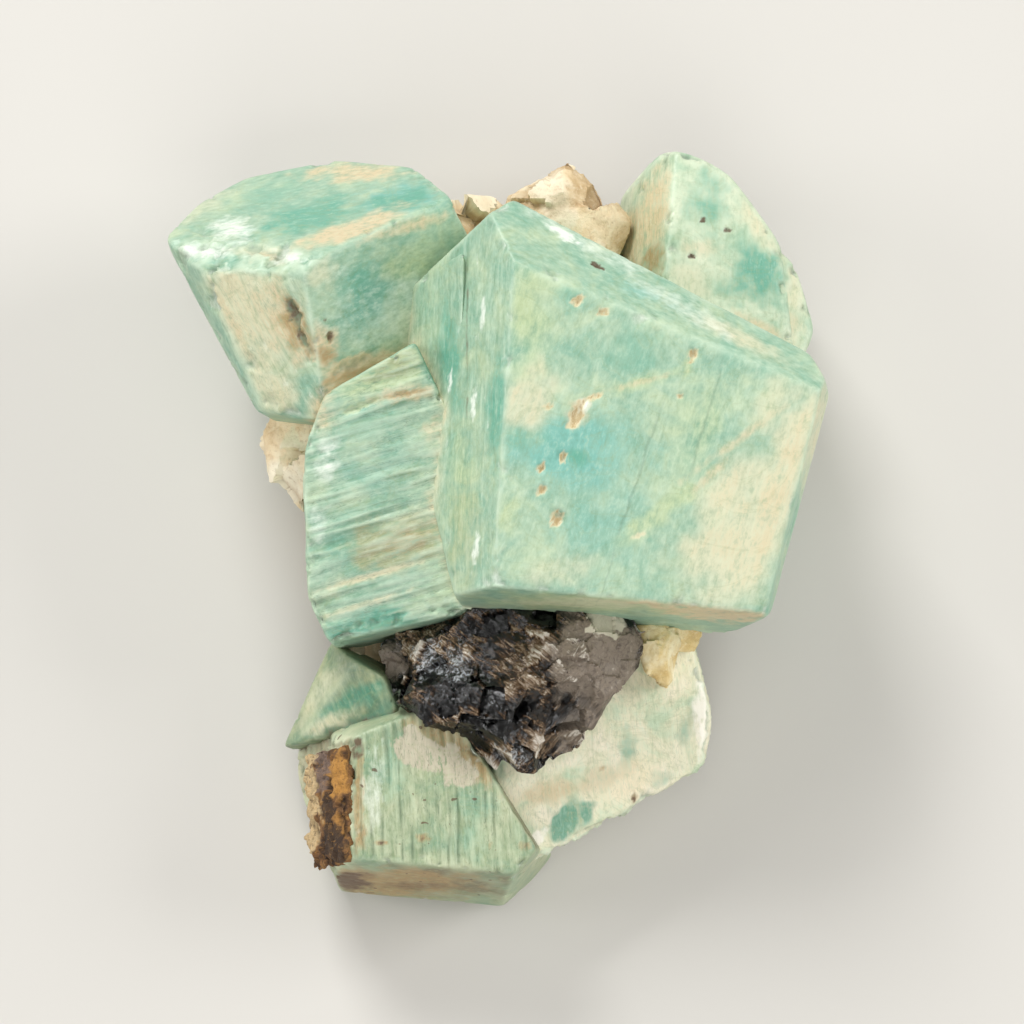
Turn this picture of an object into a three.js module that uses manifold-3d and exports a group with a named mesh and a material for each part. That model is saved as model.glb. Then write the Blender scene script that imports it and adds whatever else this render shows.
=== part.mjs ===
// A cluster of amazonite crystals grown together with smoky quartz on tan feldspar.
// It lies on its broken back, on one small flat spot.
//
// Corner points are in the specimen's own frame, in millimetres: x to the right, y up the
// specimen, z out of its front. The last step leans the whole specimen back onto the ground.

import * as THREE from "three";
import { ConvexGeometry } from "three/addons/geometries/ConvexGeometry.js";
import { mergeVertices } from "three/addons/utils/BufferGeometryUtils.js";
import { ImprovedNoise } from "three/addons/math/ImprovedNoise.js";
import Module from "manifold-3d";

const wasm = await Module();
wasm.setup();

// ---- driving dimensions, mm ----

const restLean = 15; // degrees between the front of the specimen and the sky
const seat = { x: 2.2, y: -2.5, z: 24.5 }; // from the specimen's frame to the ground frame
const pieceGap = 0.3; // free space between neighbouring pieces
const weldDistance = 1e-3; // points nearer than this are one point
const cornerDistance = 0.01; // crossings of faces nearer than this are one corner
const edgeOn = 1e-6; // three faces this close to sharing a direction have no crossing

// Growth steps across the front of the mid left crystal, rising to the right.
const steps = {
  count: 13, depth: 0.6, width: 1.7, pitch: 2.3, wander: 0.8,
  lowest: -16, rise: 7, left: -30, right: -6,
};

// Grooves down the front of the bottom crystal.
const grooves = {
  count: 9, depth: 0.5, width: 0.8, pitch: 1.35, wander: 0.5,
  left: -11.5, slant: 1, top: -34, bottom: -52,
};

const cutterLift = 0.2; // how far a groove's cutter stands above the face it cuts
const wobble = { stride: 1.37, row: [0.4, 0.7] }; // the row of noise that makes things uneven

// Pits in the front of the block crystal: x, y, radius.
const blockPits = [
  [7.2, 13.2, 1.6], [8.6, 14.6, 1.2], [6.9, 7.7, 1.0], [3.8, 5.9, 0.9], [3.4, 2.6, 1.0],
  [6.1, -0.8, 1.1], [24.4, 21.3, 1.1], [22.7, 15.7, 0.8], [9.0, 29.5, 1.1],
];
const pitFlatness = 0.8; // depth of a pit for each millimetre of its radius
const pitSides = { around: 7, down: 5 }; // flat sides of a pit, which is chipped, not round

// The rusty cavity in the upper left crystal.
const cavity = { x: -29.7, y: 26, radii: [1.2, 3.4, 1.4] };

// ---- crystals: three corners for each flat face, and a point inside ----

const blockCrystal = {
  inside: [18, 12, 2],
  faces: {
    front: [[2, 39, 20], [-2.5, -11, 21], [42, 16.5, 15]],
    left: [[0.5, 40, 20], [-2.5, -10.5, 21], [-9.5, 15.5, 8.5]],
    lowerLeft: [[-10.5, -0.5, 8], [-7.5, -12, 9], [-8, -6, -6]],
    upperLeft: [[-6, 38, 10], [-1, 42, 13], [-3, 39, -8]],
    top: [[0.5, 33.6, 20.2], [42, 16.5, 15], [0.5, 42.6, 11]],
    upperBack: [[0.5, 42.6, 11], [39, 22.7, 10.3], [12, 33, -20]],
    upperRight: [[41, 21.3, 10.5], [43.5, 16.6, 9], [41, 21.3, -10]],
    right: [[42, 16.5, 15], [34.5, -13.5, 15.5], [44, 16.5, 6]],
    backRight: [[44, 16.5, 6.5], [35.5, -13.5, 10], [40, 15, -12]],
    lowerRight: [[36, -13.5, 12], [31, -16.5, 2], [36, -13.5, -8]],
    underside: [[-2.5, -10, 21], [34, -14, 15.5], [12.5, -15.2, 4]],
    lowerBack: [[12.5, -15.2, 4], [31, -17, 3], [24, -9, -18]],
    back: [[10, 30, -22], [10, -10, -18], [34, 10, -22]],
  },
};

const sideCrystal = {
  inside: [-8.5, 28, 0],
  faces: {
    front: [[-6.5, 36, 12.5], [-6.5, 22, 12], [-13, 24, 0.5]],
    left: [[-10.5, 33.5, 5], [-13, 24, 0.5], [-11, 30, -10]],
    upperLeft: [[-7, 35.5, 8], [-10.5, 33.5, 5], [-7, 37, -8]],
    lowerLeft: [[-13, 24, 0], [-8, 14, 5], [-12, 20, -10]],
    right: [[-6.4, 36, 12], [-6.7, 23, 11.5], [-6, 30, -8]],
    back: [[0, 30, -8], [0, 20, -8], [-10, 30, -8]],
  },
};

const prismCrystal = {
  inside: [-28, 30, -5],
  faces: {
    top: [[-48.5, 37.5, -1], [-28.5, 34, 12], [-23, 50.5, -18]],
    frontLeft: [[-44, 35.5, 5], [-28.5, 34, 12], [-26, 16, 8]],
    frontRight: [[-28.5, 34, 12], [-8.5, 44, -1], [-26, 16, 8]],
    chippedEdge: [[-42, 37.3, 1.4], [-29, 36, 8], [-36, 33, 8.1]],
    farLeft: [[-44, 35.5, 5], [-34.5, 13.8, 3.3], [-48.5, 37.5, -3]],
    backLeft: [[-48.5, 37.5, -3], [-36.5, 16, -1], [-43, 34, -22]],
    upperLeft: [[-48.5, 37.5, -3], [-44.5, 44, -12], [-42, 34, -20]],
    upperBackLeft: [[-44.5, 44, -12], [-38, 48, -18], [-38, 38, -26]],
    upperBack: [[-38, 48, -18], [-25.5, 50.5, -19], [-28, 36, -29]],
    upperBackRight: [[-25.5, 50.5, -19], [-14, 49, -12.5], [-16, 36, -27]],
    backRight: [[-14, 49, -12.5], [-8.5, 44, -1], [-8, 38, -18]],
    right: [[-8.5, 44, -1], [-6, 38.5, -3], [-6.5, 40, -18]],
    bottomLeft: [[-34.5, 13.8, 3.3], [-26, 12.5, 6.6], [-32, 12, -12]],
    bottomRight: [[-26, 12.5, 7], [-14, 18, 2.5], [-26, 9, -10]],
  },
};

const steppedCrystal = {
  inside: [-16, 0, -4],
  faces: {
    front: [[-26, 16, 8.2], [-9.5, 6, 8.4], [-25.5, -18, 5.5]],
    left: [[-28.6, 5, 7.2], [-28.2, -12, 5.8], [-28, 0, -10]],
    upperLeft: [[-25.8, 16.2, 8.2], [-28, 10.5, 7.5], [-25, 14, -12]],
    lowerLeft: [[-28.2, -12, 5.8], [-25.3, -18, 5.5], [-27, -14, -12]],
    underside: [[-25.3, -18, 5.5], [-4.5, -13.4, 7.1], [-15, -17.5, -6]],
    top: [[-25.8, 16.2, 8.2], [-13.3, 23.3, 9.6], [-20, 19.5, -12]],
    upperRight: [[-13.3, 23.3, 9.6], [-10.4, 17.3, 9.2], [-11, 19, -10]],
    right: [[-4.5, 10, 0], [-4.5, -10, 0], [-4.5, 0, -12]],
    back: [[-20, 10, -12], [-20, -10, -12], [-5, 0, -12]],
  },
};

const backCrystal = {
  inside: [27, 35, -18],
  faces: {
    front: [[23, 51, -10], [21.5, 34, -5], [42.5, 25.5, -9]],
    left: [[23, 51, -10], [21.5, 34, -5], [15, 42.5, -20]],
    upperLeft: [[14.5, 44, -16], [21, 51, -16], [18, 48.5, -30]],
    top: [[23, 51.2, -10], [26, 50.7, -10], [24, 51, -24]],
    topRight: [[26, 50.7, -10], [31, 48, -10], [29, 49, -26]],
    upperRight: [[31, 48, -10], [38.3, 38, -10], [34, 42, -28]],
    right: [[38.3, 38, -10], [40, 20, -10], [38, 30, -28]],
    bottom: [[30, 12, -8], [40, 18, -8], [32, 14, -26]],
    back: [[20, 40, -28], [34, 40, -27], [30, 20, -26]],
    backLeft: [[15, 42.5, -20], [16, 30, -18], [20, 38, -28]],
  },
};

const backLedge = {
  inside: [37, 27, -16],
  faces: {
    front: [[23, 51, -10], [21.5, 34, -5], [42.5, 25.5, -9]],
    upper: [[38, 37.8, -10], [41, 35.5, -10], [38, 36, -24]],
    right: [[41, 35.5, -10], [43.5, 25.5, -10.5], [40, 30, -24]],
    lowerRight: [[43.5, 25.5, -10.5], [41.5, 21, -8], [40, 22, -24]],
    bottom: [[41, 20, -8], [30, 16, -8], [36, 18, -24]],
    left: [[30, 30, -10], [30, 20, -10], [30, 25, -24]],
    back: [[34, 34, -25], [40, 26, -25], [32, 22, -25]],
  },
};

const lowerLeftCrystal = {
  inside: [-23, -27, -6],
  faces: {
    front: [[-22.5, -21, 1], [-17, -28, 3], [-29.5, -31, -3]],
    cleavage: [[-22.5, -21.5, 1], [-29.5, -31, -3], [-27, -21, -5]],
    outerLeft: [[-26.5, -20.5, -5], [-31.5, -31.5, -6], [-27, -25, -14]],
    bottom: [[-31.5, -33, -6], [-18.5, -30, 4], [-25, -33, -12]],
    right: [[-15.5, -28, 3], [-17.5, -23, 3], [-15, -25, -10]],
    top: [[-25, -18.5, -2], [-19, -22, 3], [-20, -20, -12]],
    back: [[-20, -20, -12], [-20, -30, -12], [-28, -25, -12]],
  },
};

const groovedCrystal = {
  inside: [-12, -42, -2],
  faces: {
    front: [[-22, -32, 7], [-22, -47.5, 9], [0.5, -49.5, 10]],
    left: [[-22, -32, 7], [-22, -47.5, 9], [-27, -40.5, -4]],
    farLeft: [[-32, -33, -8], [-24, -53.5, -6], [-29, -42, -14]],
    underside: [[-22, -47.5, 9], [0.5, -49.5, 10], [-11.5, -53.5, -3]],
    bottomBack: [[-24, -53.5, -6], [0, -55, -6], [-12, -51, -13]],
    right: [[3.5, -46, 9.5], [-1.5, -38, 8], [5, -47.5, -10]],
    lowerRight: [[0.5, -49.5, 10], [3.5, -46, 9.5], [1, -53, -6]],
    top: [[-22.3, -30.9, 6.9], [-15.4, -28.3, 6.7], [-20, -26, -10]],
    upperLeft: [[-22.3, -30.9, 6.9], [-32, -33, -8], [-20, -25, -12]],
    back: [[-20, -40, -12.5], [0, -40, -12.5], [-10, -50, -11.5]],
  },
};

const paleSlab = {
  inside: [14, -34, -5],
  faces: {
    front: [[6.5, -40, 3], [25, -19, -2], [26, -34.5, -1]],
    right: [[25, -17, -2], [28, -28.5, -2], [27, -25, -14]],
    lowerRight: [[28, -28.5, -2], [26.5, -36, -2], [27.5, -32, -14]],
    underRight: [[26.5, -36, -2], [18, -40.5, -1], [22, -38, -12]],
    underLeft: [[18, -40.5, 0], [3, -48, 3], [10, -44, -10]],
    left: [[-2.5, -30, 0], [-2.5, -45, 0], [-2.5, -40, -10]],
    top: [[15, -17, -2], [25, -17, -2], [20, -16, -12]],
    back: [[20, -20, -13], [20, -36, -12], [6, -40, -12]],
  },
};

// ---- broken lumps: corners, facet size and roughness ----

const quartzMass = {
  facet: 3.2,
  roughness: 1.3,
  grain: 2.6,
  corners: [
    [-18.5, -22, 2], [-20, -19, -2], [-14, -17, 4], [-10, -13.5, 4], [-4, -10, 5], [4, -11, 8], [13, -11.5, 8],
    [18.2, -16, 6], [18.6, -19.5, 6], [17, -23.5, 6], [11, -32.4, 6], [7, -34.5, 6],
    [2, -36.3, 8.5], [-2.5, -35, 9.5], [-5, -32.5, 10], [-13, -28.5, 9], [-17.4, -24.8, 5],
    [4, -24, 14], [-6, -19.5, 12], [-1, -31, 13], [11, -19, 12], [12, -26, 11],
    [-12, -20, -12], [12, -20, -12], [8, -32, -11], [-10, -30, -12],
  ],
};

const albiteBlock = {
  facet: 3.0,
  roughness: 0.7,
  grain: 3.0,
  corners: [
    [17, -15.5, 4], [22.6, -15.7, 4.5], [22.9, -19, 2.5], [22.6, -22, 1.5], [21.5, -24.6, 2.5], [18.4, -21.5, 5],
    [21, -19, 6], [17, -16, -8], [22.5, -17, -9], [22.5, -23, -8], [19, -23, -8],
  ],
};

const rustCrust = {
  facet: 2.0,
  roughness: 0.6,
  grain: 1.6,
  corners: [
    [-23.2, -32.5, 7.5], [-23, -47.5, 9.5], [-28.8, -34, -4], [-28.6, -46, -4], [-27.2, -50, 0],
    [-26.4, -40, 4], [-20, -33, 5], [-20, -47, 6], [-24, -35, -4], [-24, -46, -4],
  ],
};

const backLump = {
  facet: 5.0,
  roughness: 1.8,
  grain: 6.0,
  corners: [
    [-30, 22, -12], [-27, 2, -10], [-20, -14, -8], [22, -12, -8], [33, 4, -14], [33, 24, -18],
    [-28, 20, -22], [30, 18, -24], [-22, -9, -19], [24, -9, -20], [-14, 34, -28], [14, 36, -30],
    [-15, 19, -33], [16, 19, -33.5], [-12, -7, -27], [14, -6, -27], [0, 26, -34.5],
  ],
};

const shoulderLump = {
  facet: 5.0,
  roughness: 1.8,
  grain: 5.0,
  corners: [
    [-34, 30, -16], [-20, 40, -20], [0, 42, -18], [16, 44, -20], [28, 38, -24], [32, 22, -20],
    [-30, 16, -18], [-16, 36, -29], [12, 38, -31], [24, 28, -29], [-26, 22, -26], [0, 20, -30],
  ],
};

const lowLump = {
  facet: 4.5,
  roughness: 1.4,
  grain: 5.0,
  corners: [
    [-22, -18, -8], [-24, -28, -9], [-20, -40, -10], [0, -42, -9], [14, -34, -8], [22, -26, -9],
    [22, -16, -8], [0, -12, -6], [-14, -10, -20], [14, -10, -20], [-15, -24, -19], [13, -24, -19],
    [-10, -38, -15], [6, -36, -15.5],
  ],
};

const pointedLump = {
  facet: 4.0,
  roughness: 0.9,
  grain: 4.0,
  corners: [
    [-1, 44.5, -14], [4, 48, -14], [8, 51, -15], [10.5, 47.5, -14], [14, 45.5, -15],
    [17, 41, -14], [7, 45, -10], [0, 34, -12], [14, 32, -12], [8, 46, -26],
    [-4, 38, -26], [14, 38, -28],
  ],
};

const saddleLump = {
  facet: 4.0,
  roughness: 0.8,
  grain: 3.0,
  corners: [
    [-10, 43.5, -8], [-3.5, 43.5, -11], [1, 44, -14], [-8, 34, -6], [0, 34, -10],
    [-9, 40, -26], [2, 40, -28], [-4, 30, -20],
  ],
};

const creamLumps = {
  facet: 3.0,
  roughness: 0.9,
  grain: 2.6,
  corners: [
    [-33.5, 16, -5], [-35, 11, -6], [-33.5, 5.5, -7], [-30, 0, -6], [-27, 6, -2], [-27, 17, -2],
    [-31, 12, -15], [-28, 2, -15], [-21, 12, -20], [-21, 2, -19],
  ],
};

// ---- solids ----

function solidFromGeometry(geometry) {
  geometry.deleteAttribute("normal");
  geometry.deleteAttribute("uv");
  const welded = mergeVertices(geometry, weldDistance);
  const mesh = new wasm.Mesh({
    numProp: 3,
    vertProperties: new Float32Array(welded.attributes.position.array),
    triVerts: new Uint32Array(welded.index.array),
  });
  return new wasm.Manifold(mesh);
}

function hullOf(points) {
  return solidFromGeometry(new ConvexGeometry(points));
}

const toVector = (corner) => new THREE.Vector3(...corner);

// The flat face through three corners, turned outward and moved out by `grow`.
function outwardPlane(corners, inside, grow) {
  const plane = new THREE.Plane().setFromCoplanarPoints(...corners.map(toVector));
  if (plane.distanceToPoint(inside) > 0) plane.negate();
  plane.constant -= grow;
  return plane;
}

function meetingPoint(a, b, c) {
  const bc = b.normal.clone().cross(c.normal);
  const volume = a.normal.dot(bc);
  if (Math.abs(volume) < edgeOn) return null;
  const ca = c.normal.clone().cross(a.normal);
  const ab = a.normal.clone().cross(b.normal);
  const point = bc.multiplyScalar(-a.constant);
  point.addScaledVector(ca, -b.constant);
  point.addScaledVector(ab, -c.constant);
  return point.divideScalar(volume);
}

// A crystal is the space behind all of its flat faces.
function crystal(form, grow = 0) {
  const inside = toVector(form.inside);
  const planes = Object.values(form.faces).map((corners) => outwardPlane(corners, inside, grow));
  const corners = [];
  for (let i = 0; i < planes.length; i++) {
    for (let j = i + 1; j < planes.length; j++) {
      for (let k = j + 1; k < planes.length; k++) {
        const point = meetingPoint(planes[i], planes[j], planes[k]);
        if (!point) continue;
        if (planes.some((plane) => plane.distanceToPoint(point) > weldDistance)) continue;
        if (corners.some((corner) => corner.distanceTo(point) < cornerDistance)) continue;
        corners.push(point);
      }
    }
  }
  return hullOf(corners);
}

const noise = new ImprovedNoise();

// A broken lump: the hull of its corners, with every facet corner pushed in or out.
function lump(form, grow = 0) {
  const middle = form.corners
    .map(toVector)
    .reduce((sum, corner) => sum.add(corner), new THREE.Vector3())
    .divideScalar(form.corners.length);
  const point = new THREE.Vector3();
  return hullOf(form.corners.map(toVector))
    .refineToLength(form.facet)
    .warp((position) => {
      point.fromArray(position);
      const bump = noise.noise(point.x / form.grain, point.y / form.grain, point.z / form.grain);
      const outward = point.clone().sub(middle).normalize();
      point.addScaledVector(outward, form.roughness * bump + grow);
      point.toArray(position);
    });
}

function join(solids) {
  return solids.reduce((whole, solid) => whole.add(solid));
}

function cut(solid, tools) {
  return tools.reduce((rest, tool) => rest.subtract(tool), solid);
}

// A long ridge with a triangular section, used to cut a groove or a growth step.
function wedge(start, end, outward, width, depth) {
  const from = toVector(start);
  const to = toVector(end);
  const out = toVector(outward).normalize();
  const across = to.clone().sub(from).normalize().cross(out);
  const corners = [];
  for (const point of [from, to]) {
    corners.push(point.clone().addScaledVector(out, -depth));
    const above = point.clone().addScaledVector(out, cutterLift);
    corners.push(above.clone().addScaledVector(across, width / 2));
    corners.push(above.clone().addScaledVector(across, -width / 2));
  }
  return hullOf(corners);
}

function pit(centre, radii) {
  const geometry = new THREE.SphereGeometry(1, pitSides.around, pitSides.down);
  geometry.scale(...radii);
  geometry.translate(...centre);
  return solidFromGeometry(geometry);
}

// The point of a flat face that lies straight behind x, y.
function onFace(corners, x, y) {
  const plane = new THREE.Plane().setFromCoplanarPoints(...corners.map(toVector));
  const { normal, constant } = plane;
  return [x, y, -(normal.x * x + normal.y * y + constant) / normal.z];
}

function faceNormal(corners) {
  const { normal } = new THREE.Plane().setFromCoplanarPoints(...corners.map(toVector));
  return normal.z > 0 ? normal.toArray() : normal.negate().toArray();
}

// ---- growth steps, grooves and pits ----

// A smooth wobble between about -0.5 and 0.5, for things that repeat unevenly.
const unevenness = (i) => noise.noise(wobble.stride * i, ...wobble.row);

function growthSteps() {
  const face = steppedCrystal.faces.front;
  const outward = faceNormal(face);
  return Array.from({ length: steps.count }, (_, i) => {
    const y = steps.lowest + i * steps.pitch + steps.wander * unevenness(i);
    const start = onFace(face, steps.left, y);
    const end = onFace(face, steps.right, y + steps.rise + unevenness(i + 0.5));
    const size = 1 + unevenness(2 * i);
    return wedge(start, end, outward, steps.width * size, steps.depth * size);
  });
}

function frontGrooves() {
  const face = groovedCrystal.faces.front;
  const outward = faceNormal(face);
  return Array.from({ length: grooves.count }, (_, i) => {
    const x = grooves.left + i * grooves.pitch + grooves.wander * unevenness(i);
    const start = onFace(face, x, grooves.top);
    const end = onFace(face, x + grooves.slant, grooves.bottom);
    const size = 1 + unevenness(3 * i);
    return wedge(start, end, outward, grooves.width * size, grooves.depth * size);
  });
}

function pits() {
  const onBlock = blockPits.map(([x, y, radius]) => {
    return pit(onFace(blockCrystal.faces.front, x, y), [radius, radius, pitFlatness * radius]);
  });
  const onPrism = pit(onFace(prismCrystal.faces.frontLeft, cavity.x, cavity.y), cavity.radii);
  return [...onBlock, onPrism];
}

// ---- the pieces ----

function upperCrystals() {
  const stepped = cut(crystal(steppedCrystal), growthSteps());
  const others = [blockCrystal, sideCrystal, prismCrystal, backCrystal, backLedge];
  return cut(join([stepped, ...others.map((form) => crystal(form))]), pits());
}

function lowerCrystals() {
  const grooved = cut(crystal(groovedCrystal), frontGrooves());
  const joined = join([crystal(lowerLeftCrystal), grooved, crystal(paleSlab)]);
  return cut(joined, [crystal(steppedCrystal, pieceGap), crystal(blockCrystal, pieceGap)]);
}

const upperForms = [blockCrystal, sideCrystal, prismCrystal, steppedCrystal, backCrystal, backLedge];
const lowerForms = [lowerLeftCrystal, groovedCrystal, paleSlab];
const grownUpper = upperForms.map((form) => crystal(form, pieceGap));
const grownLower = lowerForms.map((form) => crystal(form, pieceGap));
const grownCrystals = [...grownUpper, ...grownLower];

function smokyQuartz() {
  return cut(lump(quartzMass), grownCrystals);
}

function creamAlbite() {
  return cut(lump(albiteBlock), [...grownCrystals, lump(quartzMass, pieceGap)]);
}

function ironOxideCrust() {
  return cut(lump(rustCrust), grownCrystals);
}

function feldsparMatrix() {
  const forms = [backLump, shoulderLump, lowLump, pointedLump, saddleLump, creamLumps];
  const joined = join(forms.map((form) => lump(form)));
  const neighbours = [lump(quartzMass, pieceGap), lump(albiteBlock, pieceGap), lump(rustCrust, pieceGap)];
  return cut(joined, [...grownCrystals, ...neighbours]);
}

// Only the largest body is kept, so that no loose crumb is left beside a cut.
function largestBody(solid) {
  const bodies = solid.decompose();
  return bodies.reduce((best, body) => (body.volume() > best.volume() ? body : best));
}

function placed(solid) {
  const leaned = solid.rotate([restLean, 0, 0]).translate([seat.x, seat.y, seat.z]);
  return leaned.trimByPlane([0, 0, 1], 0);
}

function piece(name, solid, look) {
  const { vertProperties, triVerts } = largestBody(placed(solid)).getMesh();
  const geometry = new THREE.BufferGeometry();
  geometry.setAttribute("position", new THREE.BufferAttribute(vertProperties, 3));
  geometry.setIndex(new THREE.BufferAttribute(triVerts, 1));
  const mesh = new THREE.Mesh(geometry.toNonIndexed(), new THREE.MeshStandardMaterial(look));
  mesh.geometry.computeVertexNormals();
  mesh.name = name;
  return mesh;
}

const specimen = new THREE.Group();
specimen.add(
  piece("amazonite_crystals_upper", upperCrystals(), { color: 0x9fcdb5, roughness: 0.55 }),
  piece("amazonite_crystals_lower", lowerCrystals(), { color: 0xa9c9b0, roughness: 0.6 }),
  piece("smoky_quartz", smokyQuartz(), { color: 0x4a3f3a, roughness: 0.15 }),
  piece("cream_albite", creamAlbite(), { color: 0xe9dfb8, roughness: 0.6 }),
  piece("iron_oxide_crust", ironOxideCrust(), { color: 0x8a6a45, roughness: 0.85 }),
  piece("feldspar_matrix", feldsparMatrix(), { color: 0xd8c3a0, roughness: 0.75 }),
);

export default specimen;
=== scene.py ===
import itertools
import math

import bmesh
import bpy
import numpy as np
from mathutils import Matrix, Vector


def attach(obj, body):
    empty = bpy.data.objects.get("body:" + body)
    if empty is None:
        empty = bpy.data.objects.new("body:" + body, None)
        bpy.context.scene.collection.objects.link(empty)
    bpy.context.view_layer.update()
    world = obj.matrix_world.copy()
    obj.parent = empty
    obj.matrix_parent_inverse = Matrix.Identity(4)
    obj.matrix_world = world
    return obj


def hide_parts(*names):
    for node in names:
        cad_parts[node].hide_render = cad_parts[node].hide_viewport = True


# A cluster of amazonite crystals on tan feldspar, with a lump of smoky quartz, lying on its back.
# Places below are in the specimen's own frame, in mm: x right, y up the specimen, z out of its front.
# Every use of noise has a seed of its own, counted on from the seed of its piece.

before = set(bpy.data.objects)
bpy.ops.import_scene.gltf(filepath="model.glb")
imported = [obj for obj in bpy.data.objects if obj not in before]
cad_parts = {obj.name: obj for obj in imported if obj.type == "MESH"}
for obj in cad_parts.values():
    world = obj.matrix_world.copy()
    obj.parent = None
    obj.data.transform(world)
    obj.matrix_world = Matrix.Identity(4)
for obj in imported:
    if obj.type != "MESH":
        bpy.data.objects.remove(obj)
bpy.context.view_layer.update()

placing = {
    "leanDegrees": 15.0,        # how far the front leans back from the sky
    "seat": (2.2, -2.5, 24.5),  # from the specimen's frame to the ground frame, mm
}


def toGround(points):
    # from mm in the specimen's frame to m in the ground frame
    lean = math.radians(placing["leanDegrees"])
    turn = np.array([
        [1, 0, 0],
        [0, math.cos(lean), -math.sin(lean)],
        [0, math.sin(lean), math.cos(lean)],
    ])
    return (np.asarray(points, float) @ turn.T + np.array(placing["seat"])) / 1000


# the camera

view = {
    "distance": 620,          # mm from the specimen's middle plane
    "pixelsPerMm": 7.2,       # at that plane
    "pixelsWide": 1024,       # how wide a render is for that scale
    "sensor": 36.0,           # mm
}

camera = bpy.data.objects.new("camera", bpy.data.cameras.new("camera"))
camera.location = Vector(toGround([[0, 0, view["distance"]]])[0])
camera.rotation_euler = (math.radians(placing["leanDegrees"]), 0, 0)
camera.data.sensor_width = view["sensor"]
camera.data.lens = view["pixelsPerMm"] * view["distance"] * view["sensor"] / view["pixelsWide"]
bpy.context.scene.collection.objects.link(camera)
bpy.context.scene.camera = camera


# colours and nodes

def linear(colour):
    # an sRGB hex value as the linear colour that a shader takes, by the sRGB curve
    parts = [int(colour[i:i + 2], 16) / 255 for i in (0, 2, 4)]
    parts = [c / 12.92 if c <= 0.04045 else ((c + 0.055) / 1.055) ** 2.4 for c in parts]
    return (*parts, 1.0)


def addNode(tree, kind, settings=None, links=None, out=None):
    # settings are node properties or socket values, links are the sockets that feed it,
    # and out names the output that is handed back instead of the node
    node = tree.nodes.new("ShaderNode" + kind)

    def socket(sockets, name):
        return next(s for s in sockets if name in (s.identifier, s.name))

    for name, value in (settings or {}).items():
        if hasattr(node, name):
            setattr(node, name, value)
    for name, value in (settings or {}).items():
        if not hasattr(node, name):
            socket(node.inputs, name).default_value = value
    for name, source in (links or {}).items():
        tree.links.new(source, socket(node.inputs, name))
    return socket(node.outputs, out) if out else node


def newMaterial(name):
    material = bpy.data.materials.new(name)
    material.use_nodes = True
    material.node_tree.nodes.clear()
    return material, material.node_tree


# floor, sky and lamps

studio = {
    "floorSize": 6.0,         # m
    "floorColour": "c9c6c0",
    "floorRoughness": 0.75,
    "skyColour": "f3f2ee",
    "skyStrength": 0.30,
    "aim": (0, 0, 0.03),      # m, the point that every lamp faces
    "lamps": [
        # name, place in m, side in m, power in W
        ("key", (-0.36, 0.78, 0.72), 0.42, 9.0),
        ("front", (0.10, -0.10, 1.15), 0.70, 1.7),
        ("low", (0.06, -0.72, 0.72), 0.60, 4.0),
        ("left", (-0.85, 0.0, 0.45), 0.45, 2.8),
        ("right", (0.85, 0.15, 0.50), 0.45, 4.8),
    ],
}

# a board with rolled matt paint, which shows only soft shadows
floorMaterial, floorTree = newMaterial("matt painted board")
paint = {"Base Color": linear(studio["floorColour"]), "Roughness": studio["floorRoughness"]}
painted = addNode(floorTree, "BsdfPrincipled", paint, out="BSDF")
addNode(floorTree, "OutputMaterial", links={"Surface": painted})
half = studio["floorSize"] / 2
floorCorners = [(-half, -half, 0), (half, -half, 0), (half, half, 0), (-half, half, 0)]
floorMesh = bpy.data.meshes.new("floor")
floorMesh.from_pydata(floorCorners, [], [(0, 1, 2, 3)])
floorMesh.materials.append(floorMaterial)
floor = bpy.data.objects.new("floor", floorMesh)
bpy.context.scene.collection.objects.link(floor)

sky = bpy.data.worlds.new("soft white room")
sky.use_nodes = True
sky.node_tree.nodes["Background"].inputs["Color"].default_value = linear(studio["skyColour"])
sky.node_tree.nodes["Background"].inputs["Strength"].default_value = studio["skyStrength"]
bpy.context.scene.world = sky

bpy.context.scene.view_settings.view_transform = "Standard"    # colours as they are set

for lampName, place, side, power in studio["lamps"]:
    lamp = bpy.data.objects.new(lampName, bpy.data.lights.new(lampName, "AREA"))
    lamp.data.size = side
    lamp.data.energy = power
    lamp.location = place
    toAim = Vector(studio["aim"]) - Vector(place)
    lamp.rotation_euler = toAim.to_track_quat("-Z", "Y").to_euler()
    bpy.context.scene.collection.objects.link(lamp)
print("camera, floor and lamps are set")


# noise and broken surfaces, always from a seed

slopeCount = 256             # different slopes in the noise, a power of two
flakeCount = 512             # different flakes and steps, a power of two
cellPrimes = (73, 179, 283)  # they scatter the flakes, so that cells side by side differ


def gradientNoise(points, seed):
    # smooth noise between about -0.7 and 0.7, one bump for each unit of length
    random = np.random.default_rng(seed)
    table = random.permutation(slopeCount)
    slopes = random.normal(size=(slopeCount, 3))
    slopes /= np.linalg.norm(slopes, axis=1, keepdims=True)
    cell = np.floor(points).astype(int)
    inside = points - cell
    fade = inside ** 3 * (inside * (inside * 6 - 15) + 10)   # Perlin's curve from 0 to 1
    total = np.zeros(len(points))
    for corner in itertools.product((0, 1), repeat=3):
        hashed = 0
        share = 1
        for axis, far in enumerate(corner):
            hashed = table[(hashed + cell[:, axis] + far) & (slopeCount - 1)]
            share = share * (fade[:, axis] if far else 1 - fade[:, axis])
        away = inside - corner
        total += share * (slopes[hashed] * away).sum(1)
    return total


def layeredNoise(points, seed, layers=3):
    # every layer is half as high and half as wide as the one before
    total = np.zeros(len(points))
    size = 1.0
    for layer in range(layers):
        total += size * gradientNoise(points / size, seed + layer)
        size /= 2
    return total


def evenRandom(steps, seed):
    # the same number between 0 and 1 each time for the same whole number
    table = np.random.default_rng(seed).random(flakeCount)
    return table[steps.astype(int) & (flakeCount - 1)]


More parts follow.
